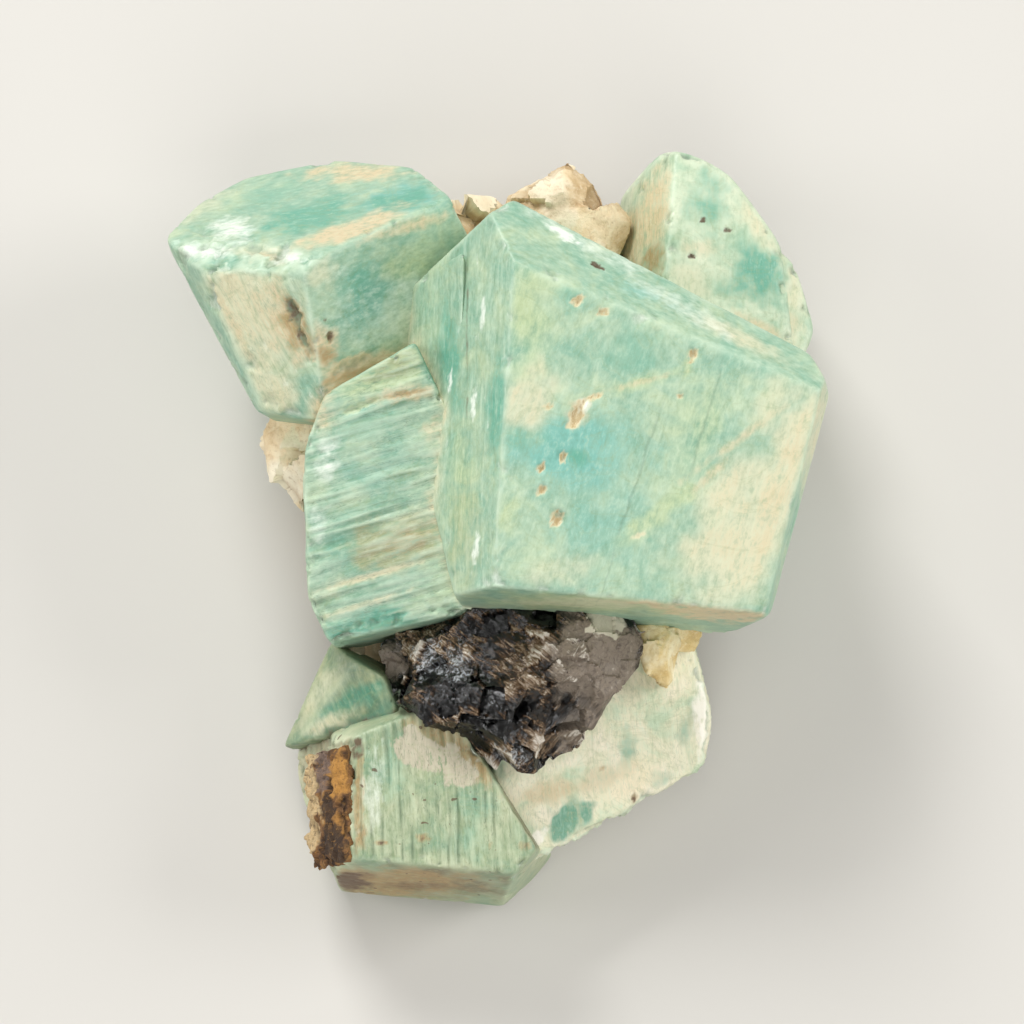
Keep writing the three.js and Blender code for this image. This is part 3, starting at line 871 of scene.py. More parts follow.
quartzLook = {
    "tones": {
        "base": "120e0b",
        "brown": "5d442d",
        "veil": "978670",
        "milky": "8a7e70",
        "fibre": "5a4f45",
        # the pale of the painted highlights on the frosted zone's flaws
        "pale": "c4bcae",
        # the grey of crack sheets in the silver zones, partly painted glints
        "silver": "aeb2b3",
        # the pale of the painted glints
        "paintedGlint": "e6dfd2",
        "chip": "cfc8b4",
    },
    "smoke": "4a3121",
    "density": 600.0,             # for each metre of quartz that the light crosses
    "kept": ("milky", "chip", "silver", "veil", "relief"),
    "patterns": {
        # slivers between cracks, about 0.5 mm wide
        "splinters": ("grain", (3.4, 0.5, 1.2), 5.0, 0.70, 1.0),
        # tiny healed cracks, really about 0.2 mm wide and drawn coarser so that they show
        "flaws": ("spot", (0.9, 0.9, 0.9), 4.0, 0.75, 1.0),
    },
    "layers": [
        ("brown", "cracked", 0.57, 0.67, 0.9),
        ("veil", "cracked", 0.65, 0.76, 0.9),
        # grey sheets of cracks in the silver zones, partly painted glints
        ("silver", "silverSheetsAndPaintedGlints", 0.47, 0.62, 0.8),
        ("milky", "frosted", 0.20, 0.75, 0.9),
        ("fibre", "fibrous", 0.1, 0.8, 0.85),
        # painted highlights on the frosted zone's flaws
        ("pale", "paintedShine", 0.1, 0.9, 0.7),
        # painted glints where the cracks are thickest
        ("paintedGlint", "cracked", 0.76, 0.84, 0.7),
        ("chip", "chip", 0.3, 0.6, 0.95),
    ],
    # how much of each zone is added to the cracks; the relief's share makes raised splinters paler, a
    # painted highlight
    "crackedBy": {"splinters": 0.75, "flaws": 0.25, "veil": 0.12, "silver": 0.04, "relief": 0.25},
    # the frosted zone's brightness over its splinters, and the flaws at which it darkens and at which it
    # is painted pale as a highlight
    "frosting": {"From Min": 0.35, "From Max": 0.65, "To Min": 0.6, "To Max": 1.3},
    "flawed": {"fibrous": (0.52, 0.32), "paintedShine": (0.58, 0.74)},
    # where cracks and silver sheets begin to stop the light, and where they stop it all
    "cloudy": {"cracked": (0.54, 0.70), "silverSheetsAndPaintedGlints": (0.42, 0.60)},
    # size in mm and lean of the glinting facets, and the share of the lean left in the frosted zone
    "facets": [(2.0, 0.55), (0.6, 0.35)],
    "frostedLean": 0.15,
    "bumps": {"splinters": 1.0, "flaws": 0.5},
    "bumpStrength": 0.4,
    "bumpHeight": 0.3,            # mm
    "roughness": (0.04, 0.36),    # clear, and frosted
    "gloss": 0.2,                 # specular level: low, because cracks break up the shine
    "ior": 1.544,
}


def brokenSmokyQuartz(name):
    # Smoky quartz as it broke: dark brown glass with small glinting facets, streaked with brown and
    # grey cracks, and frosted where it is full of them.
    # some glints and highlights are painted into its colour too: on raised splinters, in the silver
    # zones, on the frosted zone's flaws and where the cracks are thickest
    look = quartzLook
    material, tree = newMaterial(name)
    values = makePatterns(tree, look)
    spot = addNode(tree, "Attribute", {"attribute_name": "spot"}, out="Vector")
    # several patterns and zones add up to how cracked the quartz is
    cracked = None
    for part, share in look["crackedBy"].items():
        links = {"Value": values[part]}
        if cracked:
            links["Value_002"] = cracked
        settings = {"operation": "MULTIPLY_ADD", "Value_001": share, "Value_002": 0.0}
        cracked = addNode(tree, "Math", settings, links, out="Value")
    values["cracked"] = cracked
    # the silver zones' flaws: grey sheets of cracks, partly painted glints
    links = {"Value": values["silver"], "Value_001": values["flaws"]}
    values["silverSheetsAndPaintedGlints"] = addNode(tree, "Math", {"operation": "MULTIPLY"}, links, out="Value")
    # the frosted zone breaks up along the splinters, and is darker between its fibres
    fibres = addNode(tree, "MapRange", look["frosting"], {"Value": values["splinters"]}, out="Result")
    links = {"Value": values["milky"], "Value_001": fibres}
    values["frosted"] = addNode(tree, "Math", {"operation": "MULTIPLY"}, links, out="Value")
    # and its flaws are dark in some places, and painted pale as highlights in others
    for result, (low, high) in look["flawed"].items():
        settings = {"From Min": low, "From Max": high}
        share = addNode(tree, "MapRange", settings, {"Value": values["flaws"]}, out="Result")
        links = {"Value": share, "Value_001": values["milky"]}
        values[result] = addNode(tree, "Math", {"operation": "MULTIPLY"}, links, out="Value")

    # light goes through where there are no cracks
    zones = []
    for part, (low, high) in look["cloudy"].items():
        settings = {"From Min": low, "From Max": high}
        zones.append(addNode(tree, "MapRange", settings, {"Value": values[part]}, out="Result"))
    filled = zones[0]
    for zone in (zones[1], values["milky"], values["chip"]):
        links = {"Value": filled, "Value_001": zone}
        filled = addNode(tree, "Math", {"operation": "MAXIMUM"}, links, out="Value")

    # every facet leans its own way
    normal = roughen(tree, look, values)
    for size, lean in look["facets"]:
        settings = {"feature": "F1", "Scale": 1 / size}
        facet = addNode(tree, "TexVoronoi", settings, {"Vector": spot}, out="Color")
        settings = {"operation": "SUBTRACT", "Vector_001": (0.5, 0.5, 0.5)}
        facet = addNode(tree, "VectorMath", settings, {"Vector": facet}, out="Vector")
        frosted = look["frostedLean"] * lean
        crisp = {"From Min": 0.0, "From Max": 0.8, "To Min": lean, "To Max": frosted}
        lean = addNode(tree, "MapRange", crisp, {"Value": values["milky"]}, out="Result")
        links = {"Vector": facet, "Scale": lean}
        facet = addNode(tree, "VectorMath", {"operation": "SCALE"}, links, out="Vector")
        links = {"Vector": facet, "Vector_001": normal}
        normal = addNode(tree, "VectorMath", {"operation": "ADD"}, links, out="Vector")
    normal = addNode(tree, "VectorMath", {"operation": "NORMALIZE"}, {"Vector": normal}, out="Vector")

    smooth, frosty = look["roughness"]
    dull = {"From Min": 0.2, "From Max": 0.8, "To Min": smooth, "To Max": frosty}
    clearness = {"From Min": 0.1, "From Max": 0.9, "To Min": 1.0, "To Max": 0.05}
    links = {
        "Base Color": paintLayers(tree, look, values),
        "Roughness": addNode(tree, "MapRange", dull, {"Value": values["milky"]}, out="Result"),
        "Transmission Weight": addNode(tree, "MapRange", clearness, {"Value": filled}, out="Result"),
        "Normal": normal,
    }
    settings = {"IOR": look["ior"], "Specular IOR Level": look["gloss"]}
    surface = addNode(tree, "BsdfPrincipled", settings, links, out="BSDF")
    settings = {"Color": linear(look["smoke"]), "Density": look["density"]}
    smoke = addNode(tree, "VolumeAbsorption", settings, out="Volume")
    addNode(tree, "OutputMaterial", links={"Surface": surface, "Volume": smoke})
    return material


# feldspar as it broke: flat cleavage flakes, dull and grainy, with iron stains, darker in the hollows as
# painted shade and paler on the raised flakes as a painted highlight
feldsparLook = {
    "tones": {
        "base": "e6d0a9", "deep": "c8aa7c", "light": "f3e5c5", "pale": "f1e6ca", "dark": "a98c62",
        "stain": "a6793f", "cream": "f3ecd6", "green": "d3d8b8",
    },
    "kept": ("relief", "green", "cream"),
    "patterns": {
        "clouds": ("spot", (6.0, 6.0, 6.0), 4.0, 0.62, 0.6),
        # iron stains, 2 to 3 mm wide
        "blots": ("spot", (2.6, 2.6, 2.6), 4.0, 0.70, 0.4),
        # grains, really about 0.3 mm wide and drawn coarser so that they show
        "grains": ("spot", (0.8, 0.8, 0.8), 3.0, 0.70, 0.0),
    },
    "layers": [
        ("deep", "clouds", 0.50, 0.32, 1.0),
        ("light", "clouds", 0.50, 0.68, 1.0),
        ("stain", "blots", 0.54, 0.72, 0.55),
        ("green", "green", 0.2, 0.8, 0.8),
        ("cream", "cream", 0.2, 0.8, 0.95),
        # painted shade in the hollows and a painted highlight on the raised flakes
        ("dark", "relief", -0.1, -0.9, 0.6),
        ("pale", "relief", 0.15, 0.8, 0.5),
        ("pale", "grains", 0.54, 0.72, 0.45),
        ("dark", "grains", 0.44, 0.28, 0.5),
    ],
    "bumps": {"grains": 1.0, "blots": 0.8},
    "bumpStrength": 0.6,
    "bumpHeight": 0.35,           # mm
    "roughness": 0.62,
    "ior": 1.53,
}

# albite as it cleaved: creamy yellow, and a little smoother than the feldspar
albiteLook = {
    **feldsparLook,
    "tones": {
        **feldsparLook["tones"], "base": "e0ca92", "deep": "c7a560", "light": "f5eccb",
        "pale": "f2e9cb", "dark": "bb9c5c", "stain": "b08a4a",
    },
    "roughness": 0.5,
}

# iron oxide as it settled: a dull earthy crust, ochre where it is thin and nearly black where thick, and
# darker in its hollows as painted shade
rustLook = {
    "tones": {
        "base": "7d5730", "deep": "3d2817", "light": "9a7440", "ochre": "b98640", "black": "30231a",
        "purple": "7b675b", "tan": "cdb387",
    },
    "kept": ("relief", "ochre", "black", "purple", "tan"),
    "patterns": {
        "clouds": ("spot", (3.5, 3.5, 3.5), 4.0, 0.65, 0.5),
        # earthy grains, really under 0.1 mm wide and drawn coarser so that they show
        "grains": ("spot", (0.6, 0.6, 0.6), 3.0, 0.70, 0.0),
    },
    "layers": [
        ("deep", "clouds", 0.50, 0.34, 1.0),
        ("light", "clouds", 0.50, 0.64, 1.0),
        ("purple", "purple", 0.2, 0.7, 0.9),
        ("tan", "tan", 0.2, 0.7, 0.95),
        ("ochre", "ochre", 0.3, 0.9, 0.9),
        ("black", "black", 0.3, 0.7, 0.85),
        # painted shade in the hollows
        ("black", "relief", -0.05, -0.5, 0.7),
        ("ochre", "grains", 0.56, 0.70, 0.5),
        ("black", "grains", 0.44, 0.28, 0.7),
    ],
    "bumps": {"grains": 1.0},
    "bumpStrength": 0.9,
    "bumpHeight": 0.5,            # mm
    "roughness": 0.85,
    "ior": 1.53,                  # lower than solid iron oxide's, because the crust is dusty
}


def dullMineral(name, look):
    # A mineral with a broken or earthy surface. Clouds, stains and dark hollows give it depth, and
    # its grains keep it dull.
    material, tree = newMaterial(name)
    values = makePatterns(tree, look)
    links = {"Base Color": paintLayers(tree, look, values), "Normal": roughen(tree, look, values)}
    settings = {"IOR": look["ior"], "Roughness": look["roughness"]}
    surface = addNode(tree, "BsdfPrincipled", settings, links, out="BSDF")
    addNode(tree, "OutputMaterial", links={"Surface": surface})
    return material


# the crystals
# voxel: mm between the points of the fine mesh; sharpness: how crisp the edges are, for each mm
# inside: a point inside; faces: three corners of each flat face; streaks: the way that they run
# chips: depth of the chipped edges and size of their noise, mm
# patches: tone, face, place, half size, its turn in degrees, and strength
# pits: tone, face, place, half size, its turn in degrees, and depth

blockCrystal = {
    "name": "block_crystal",
    "node": "amazonite_crystals_upper",
    "seed": 11,
    "voxel": 0.4,
    "sharpness": 3.8,
    "inside": (18, 12, 2),
    "faces": {
        "front": ((2, 39, 20), (-2.5, -11, 21), (42, 16.5, 15)),
        "left": ((0.5, 40, 20), (-2.5, -10.5, 21), (-9.5, 15.5, 8.5)),
        "lowerLeft": ((-10.5, -0.5, 8), (-7.5, -12, 9), (-8, -6, -6)),
        "upperLeft": ((-6, 38, 10), (-1, 42, 13), (-3, 39, -8)),
        "top": ((0.5, 33.6, 20.2), (42, 16.5, 15), (0.5, 42.6, 11)),
        "upperBack": ((0.5, 42.6, 11), (39, 22.7, 10.3), (12, 33, -20)),
        "upperRight": ((41, 21.3, 10.5), (43.5, 16.6, 9), (41, 21.3, -10)),
        "right": ((42, 16.5, 15), (34.5, -13.5, 15.5), (44, 16.5, 6)),
        "backRight": ((44, 16.5, 6.5), (35.5, -13.5, 10), (40, 15, -12)),
        "lowerRight": ((36, -13.5, 12), (31, -16.5, 2), (36, -13.5, -8)),
        "underside": ((-2.5, -10, 21), (34, -14, 15.5), (12.5, -15.2, 4)),
        "lowerBack": ((12.5, -15.2, 4), (31, -17, 3), (24, -9, -18)),
        "back": ((10, 30, -22), (10, -10, -18), (34, 10, -22)),
    },
    "streaks": {
        "front": (0.31, 0.95, 0),
        "left": (0, 1, 0),
        "lowerLeft": (0, 1, 0),
        "top": (36, -19, -4.5),
        "upperBack": (36, -19, -4.5),
        "underside": (1, 0, 0),
        "right": (0.2, 1, 0),
        "rest": (0.3, 1, 0),
    },
    "finish": {
        "front": "satin",
        "left": "ribbed",
        "lowerLeft": "ribbed",
        "top": "satin",
        "back": "broken",
        "lowerBack": "broken",
        "rest": "satin",
    },
    "chips": (0.5, 3.5),
    "patches": [
        ("moss", "front", (2.4, 27.1), (10.1, 4), 82, 0.85),
        ("teal", "front", (8.5, 29.5), (3.5, 2.4), 60, 0.45),
        ("cream", "front", (2.1, 15), (5.6, 3.2), 50, 0.75),
        ("sky", "front", (8.1, 8.1), (10, 5.7), -8, 1.0),
        ("teal", "front", (8.7, 7.3), (1.7, 1.2), 0, 0.9),
        ("teal", "front", (1.1, 10.2), (4.6, 1.9), -10, 0.5),
        ("teal", "front", (16.4, 21.8), (4.6, 3.2), 20, 0.4),
        ("sky", "front", (11.8, -1.8), (8.1, 5.9), 60, 0.45),
        ("cream", "front", (31.9, -3.8), (12.4, 7.6), 58, 1.0),
        ("cream", "front", (39, 8.4), (10, 4.1), 76, 1.0),
        ("tan", "front", (35.6, 1.6), (10.8, 1.9), 72, 0.45),
        ("tan", "front", (40.4, 6), (3.5, 0.8), 76, 0.6),
        ("teal", "front", (25.4, -4.9), (5.9, 2.4), 25, 0.4),
        ("teal", "front", (1.1, -10.2), (5.9, 1.2), 6, 0.5),
        ("tan", "front", (30.6, 9.7), (9.5, 0.7), 36, 0.45),
        ("moss", "front", (24, 11.1), (8.1, 3.5), 70, 0.4),
        ("cream", "front", (36.3, 15.8), (5.4, 3.5), 60, 0.45),
        ("tan", "front", (8.9, 13.2), (2.2, 1.6), 60, 0.7),
        ("frostAndPaintedLight", "front", (9.3, 14), (1.5, 1.1), 50, 0.8),
        ("moss", "front", (-1.6, -0.4), (3.5, 2.1), 60, 0.8),
        ("cream", "front", (5.5, -8.5), (6.7, 2.2), 20, 0.35),
        ("moss", "front", (17.3, 17.5), (6.7, 1.1), 14, 0.75),
        ("tan", "front", (17.3, 17.5), (5.9, 0.5), 14, 0.45),
        ("moss", "front", (20.1, 0.1), (10.5, 1.5), 37, 0.8),
        ("tan", "front", (26.9, 5.1), (3.2, 0.8), 42, 0.55),
        ("moss", "front", (23.8, 20), (2.2, 0.7), 75, 0.9),
        ("moss", "front", (26.1, 11.1), (8.1, 2.2), 72, 0.6),
        ("teal", "left", (-8.5, 19.4), (10.3, 1.6), 90, 0.95),
        ("teal", "left", (-1.9, 12.4), (8.3, 1.9), 88, 0.8),
        ("olive", "left", (-6.8, -3.8), (8.1, 2.7), 85, 0.4),
        ("moss", "left", (-6.8, 1.6), (9.5, 2.4), 88, 0.7),
        ("frostAndPaintedLight", "left", (-3.9, 26.7), (2.4, 0.4), 88, 0.9),
        ("frostAndPaintedLight", "left", (-8.5, 17.8), (1.4, 0.3), 85, 0.9),
        ("frostAndPaintedLight", "left", (-5.2, 14.6), (2.2, 0.4), 85, 0.9),
        ("frostAndPaintedLight", "left", (-4.9, -4.9), (2.4, 0.5), 80, 0.8),
        ("dirtAndShade", "left", (-6.1, 22.7), (16.3, 0.2), 90, 0.5),
        ("frostAndPaintedLight", "top", (10.7, 38.9), (10.9, 3.6), -30, 0.45),
        ("sky", "top", (17.4, 29.8), (4.9, 1.1), -25, 0.6),
        ("frostAndPaintedLight", "top", (24.2, 27.2), (10.9, 1.9), -28, 0.32),
        ("frostAndPaintedLight", "top", (7.2, 37.7), (2.7, 0.8), -30, 1.0),
        ("tan", "underside", (28.1, -13.2), (8.9, 1.6), -5, 1.3),
        ("olive", "underside", (30.8, -13.5), (8.1, 0.9), -5, 0.8),
        ("moss", "underside", (10.6, -12.2), (14.9, 1.9), 0, 0.9),
        # cream over the narrow right faces: their own cream colour, laid on strongly as painted light, as
        # the lamps reach them little
        ("cream", "right", (42.8, 9.9), (4.1, 12.4), 0, 0.9),
        ("cream", "backRight", (42.7, 11.2), (5.5, 12.3), 0, 0.7),
        ("cream", "top", (31, 23.6), (8.1, 1.2), -27, 0.6),
        ("cream", "underside", (11.9, -12.3), (12.2, 0.7), 0, 0.5),
    ],
    "pits": [
        ("dirtAndShade", "top", (11.6, 33.4), (0.9, 0.35), -30, 0.4),
        ("crumb", "front", (8.9, 28.5), (1.1, 0.7), 40, 0.5),
        ("crumb", "front", (12.3, 26.9), (0.9, 0.55), 0, 0.4),
        ("crumb", "front", (8.7, 13.2), (2.1, 1.0), 65, 0.6),
        ("crumb", "front", (5, 14.2), (0.8, 0.5), 0, 0.3),
        ("crumb", "front", (11.2, 15.6), (1.2, 0.4), 20, 0.3),
        ("crumb", "front", (6.9, 7.4), (0.9, 0.5), 80, 0.6),
        ("crumb", "front", (3.9, 6.0), (0.8, 0.6), 30, 0.5),
        ("crumb", "front", (4.0, 3.0), (0.9, 0.6), 60, 0.5),
        ("crumb", "front", (6.1, -0.9), (1.3, 0.9), 60, 0.7),
        ("crumb", "front", (24.4, 21.2), (1.2, 0.6), 70, 0.6),
        ("crumb", "front", (22.7, 15.7), (0.5, 0.4), 0, 0.4),
        ("cream", "front", (17, -3.2), (1.1, 0.3), 25, 0.15),
    ],
}

sideCrystal = {
    "name": "side_crystal",
    "node": "amazonite_crystals_upper",
    "seed": 23,
    "voxel": 0.4,
    "sharpness": 3.8,
    "inside": (-8.5, 28, 0),
    "faces": {
        "front": ((-6.5, 36, 12.5), (-6.5, 22, 12), (-13, 24, 0.5)),
        "left": ((-10.5, 33.5, 5), (-13, 24, 0.5), (-11, 30, -10)),
        "upperLeft": ((-7, 35.5, 8), (-10.5, 33.5, 5), (-7, 37, -8)),
        "lowerLeft": ((-13, 24, 0), (-8, 14, 5), (-12, 20, -10)),
        "right": ((-6.4, 36, 12), (-6.7, 23, 11.5), (-6, 30, -8)),
        "back": ((0, 30, -8), (0, 20, -8), (-10, 30, -8)),
    },
    "streaks": {"rest": (0, 1, 0)},
    "finish": {"rest": "ribbed"},
    "chips": (0.4, 3.0),
    "patches": [],
}

prismCrystal = {
    "name": "prism_crystal",
    "node": "amazonite_crystals_upper",
    "seed": 37,
    "voxel": 0.42,
    "sharpness": 3.2,
    "inside": (-28, 30, -5),
    "faces": {
        "top": ((-48.5, 37.5, -1), (-28.5, 34, 12), (-23, 50.5, -18)),
        "frontLeft": ((-44, 35.5, 5), (-28.5, 34, 12), (-26, 16, 8)),
        "frontRight": ((-28.5, 34, 12), (-8.5, 44, -1), (-26, 16, 8)),
        "chippedEdge": ((-42, 37.3, 1.4), (-29, 36, 8), (-36, 33, 8.1)),
        "farLeft": ((-44, 35.5, 5), (-34.5, 13.8, 3.3), (-48.5, 37.5, -3)),
        "backLeft": ((-48.5, 37.5, -3), (-36.5, 16, -1), (-43, 34, -22)),
        "upperLeft": ((-48.5, 37.5, -3), (-44.5, 44, -12), (-42, 34, -20)),
        "upperBackLeft": ((-44.5, 44, -12), (-38, 48, -18), (-38, 38, -26)),
        "upperBack": ((-38, 48, -18), (-25.5, 50.5, -19), (-28, 36, -29)),
        "upperBackRight": ((-25.5, 50.5, -19), (-14, 49, -12.5), (-16, 36, -27)),
        "backRight": ((-14, 49, -12.5), (-8.5, 44, -1), (-8, 38, -18)),
        "right": ((-8.5, 44, -1), (-6, 38.5, -3), (-6.5, 40, -18)),
        "bottomLeft": ((-34.5, 13.8, 3.3), (-26, 12.5, 6.6), (-32, 12, -12)),
        "bottomRight": ((-26, 12.5, 7), (-14, 18, 2.5), (-26, 9, -10)),
    },
    "streaks": {
        "top": (1, 0.25, 0),
        "frontLeft": (0.47, -0.88, 0),
        "farLeft": (0.47, -0.88, 0),
        "chippedEdge": (1, 0, 0),
        "frontRight": (1, 0.3, 0),
        "rest": (0.4, -1, 0),
    },
    "finish": {
        "top": "satin",
        "frontLeft": "ribbed",
        "farLeft": "ribbed",
        "chippedEdge": "broken",
        "backLeft": "ribbed",
        "rest": "satin",
    },
    "chips": (0.7, 3.0),
    "patches": [
        # a pale veil over the whole face: painted light, as the lamps reach this face little
        ("frostAndPaintedLight", "frontRight", (-18.2, 27.9), (11, 8.3), 0, 0.3),
        ("teal", "top", (-28.7, 41.1), (7.5, 2.5), 14, 1.1),
        ("sky", "top", (-15.6, 43.6), (5.6, 2.1), 6, 1.3),
        ("teal", "top", (-15.6, 43.5), (4.7, 1.7), 6, 1.2),
        ("teal", "top", (-34.2, 44.8), (7.1, 2), 22, 0.45),
        ("tan", "top", (-22.7, 48.1), (7.4, 1.7), 0, 0.8),
        ("tan", "top", (-22.1, 38.9), (8.8, 1.9), 20, 0.9),
        ("frostAndPaintedLight", "top", (-39.4, 39.4), (3.9, 2.1), -5, 0.75),
        ("cream", "top", (-44.1, 43.4), (5.7, 2.3), 40, 0.4),
        ("frostAndPaintedLight", "chippedEdge", (-43.2, 36.3), (5.5, 1.4), -8, 0.9),
        ("cream", "chippedEdge", (-34.4, 35.8), (4.7, 1.7), -8, 0.9),
        ("tan", "chippedEdge", (-32.3, 35.7), (1.6, 0.5), 10, 0.9),
        ("frostAndPaintedLight", "chippedEdge", (-30.4, 34.8), (2.7, 1.1), 0, 0.7),
        ("cream", "frontLeft", (-37.4, 27.8), (12.4, 6.3), -58, 1.0),
        ("tan", "frontLeft", (-38.6, 26.2), (6.9, 0.7), -62, 0.7),
        ("cream", "frontLeft", (-33.3, 17.5), (5.5, 3.3), -60, 0.8),
        ("tan", "frontLeft", (-30.7, 26), (6.3, 3), -66, 0.9),
        ("stain", "frontLeft", (-29.3, 24.9), (4.7, 1.9), -66, 0.9),
        ("dirtAndShade", "frontLeft", (-30.2, 27.5), (1.5, 0.7), -60, 0.9),
        ("dirtAndShade", "frontLeft", (-29, 24.4), (1.1, 0.5), -70, 0.8),
        ("dirtAndShade", "frontLeft", (-26.3, 21.9), (1.1, 0.5), -10, 0.8),
        ("teal", "frontLeft", (-29.4, 20), (4.7, 1.8), -62, 0.35),
        ("tan", "frontRight", (-26.5, 22.8), (3.6, 3), -70, 0.9),
        ("stain", "frontRight", (-26, 21.5), (2.2, 1.6), 0, 0.7),
        ("stain", "frontRight", (-22, 19), (6.9, 0.7), 18, 0.7),
        ("dirtAndShade", "frontRight", (-24.9, 24), (0.8, 0.5), -80, 1.0),
        ("dirtAndShade", "frontRight", (-25.6, 26.4), (0.3, 0.3), 0, 1.0),
        ("teal", "frontRight", (-20.4, 29.6), (4.7, 3.3), 60, 1.1),
        ("moss", "frontRight", (-13.9, 34.6), (4.7, 2.5), 15, 0.7),
        ("moss", "frontRight", (-15.1, 26.3), (2.8, 2.2), 40, 0.6),
        ("tan", "frontRight", (-20.9, 19.6), (9.1, 1.8), 20, 1.2),
        ("cream", "frontRight", (-26.5, 33), (2.7, 2.5), 60, 0.6),
        ("tan", "frontRight", (-15.5, 39.2), (6.9, 1), 18, 0.7),
    ],
    "pits": [
        ("stain", "frontLeft", (-29.8, 27.1), (2.2, 0.9), -66, 0.8),
        ("stain", "frontLeft", (-28.7, 23.6), (1.5, 0.6), -70, 0.6),
        ("stain", "frontRight", (-24.9, 24), (0.8, 0.4), -75, 0.5),
        ("tan", "frontLeft", (-26.8, 22.2), (1.8, 1.2), -30, 0.5),
        ("tan", "chippedEdge", (-32.4, 35.7), (2.0, 0.9), 0, 0.5),
        ("tan", "frontRight", (-22, 20.5), (3.0, 1.0), 25, 0.4),
    ],
}

steppedCrystal = {
    "name": "stepped_crystal",
    "node": "amazonite_crystals_upper",
    "seed": 53,
    "voxel": 0.28,
    "sharpness": 3.4,
    "inside": (-16, 0, -4),
    "faces": {
        "front": ((-26, 16, 8.2), (-9.5, 6, 8.4), (-25.5, -18, 5.5)),
        "left": ((-28.6, 5, 7.2), (-28.2, -12, 5.8), (-28, 0, -10)),
        "upperLeft": ((-25.8, 16.2, 8.2), (-28, 10.5, 7.5), (-25, 14, -12)),
        "lowerLeft": ((-28.2, -12, 5.8), (-25.3, -18, 5.5), (-27, -14, -12)),
        "underside": ((-25.3, -18, 5.5), (-4.5, -13.4, 7.1), (-15, -17.5, -6)),
        "top": ((-25.8, 16.2, 8.2), (-13.3, 23.3, 9.6), (-20, 19.5, -12)),
        "upperRight": ((-13.3, 23.3, 9.6), (-10.4, 17.3, 9.2), (-11, 19, -10)),
        "right": ((-4.5, 10, 0), (-4.5, -10, 0), (-4.5, 0, -12)),
        "back": ((-20, 10, -12), (-20, -10, -12), (-5, 0, -12)),
    },
    "streaks": {
        "rest": (1, 0.3, 0),
    },
    "finish": {
        "front": "striated",
        "underside": "satin",
        "left": "striated",
        "upperLeft": "satin",
        "rest": "satin",
    },
    "chips": (0.9, 2.4),
    "patches": [
        ("tan", "front", (-14.6, 16.2), (4.7, 1.2), 10, 0.85),
        ("stain", "front", (-14.6, 16.2), (3.6, 0.5), 12, 0.8),
        ("olive", "front", (-16.4, 20), (4.1, 1.9), 20, 0.6),
        ("moss", "front", (-16.4, 20), (7.4, 3.6), 20, 1.1),
        ("olive", "front", (-17.4, 20.1), (4.1, 1.9), 20, 0.5),
        ("moss", "front", (-18.1, 17.5), (1.6, 0.8), 30, 0.8),
        ("moss", "front", (-22.2, 15.1), (2.5, 0.7), 25, 0.7),
        ("frostAndPaintedLight", "front", (-25.5, 7.1), (4.1, 1.9), 70, 0.6),
        ("frostAndPaintedLight", "front", (-26.4, -1.1), (3.3, 1.6), 80, 0.35),
        ("teal", "front", (-20.8, 11.9), (6, 2.2), 20, 0.5),
        ("olive", "front", (-15.6, -4.5), (7.4, 3.6), 16, 1.4),
        ("stain", "front", (-14.8, -4.3), (4.9, 1.9), 16, 0.55),
        ("cream", "front", (-19.5, -8.8), (8.8, 0.5), 16, 0.9),
        ("cream", "front", (-21, -12.9), (7.4, 0.4), 17, 0.8),
        ("cream", "front", (-13.3, -0.8), (4.7, 1.6), 20, 0.45),
        ("teal", "front", (-19.3, -16), (7.4, 2.2), 14, 1.4),
        ("teal", "front", (-22.9, -4.9), (4.1, 2.2), 20, 0.6),
        ("teal", "front", (-19.2, 0.8), (4.1, 1.6), 20, 0.4),
        ("tan", "front", (-10.7, 11.2), (2.2, 1.6), 60, 0.5),
        ("sky", "front", (-17.4, 5.8), (5.5, 3.6), 15, 0.35),
        ("cream", "front", (-25, -10.7), (3.3, 1.7), 30, 0.35),
    ],
    "pits": [
        ("tan", "front", (-14.6, 16.2), (1.9, 0.6), 14, 0.3),
        ("moss", "front", (-18.3, 18.3), (1.6, 0.6), 50, 0.25),
        ("moss", "front", (-20.6, 14.6), (2.6, 0.5), 25, 0.25),
        ("moss", "front", (-16.2, 20.8), (1.2, 0.4), 45, 0.2),
    ],
}

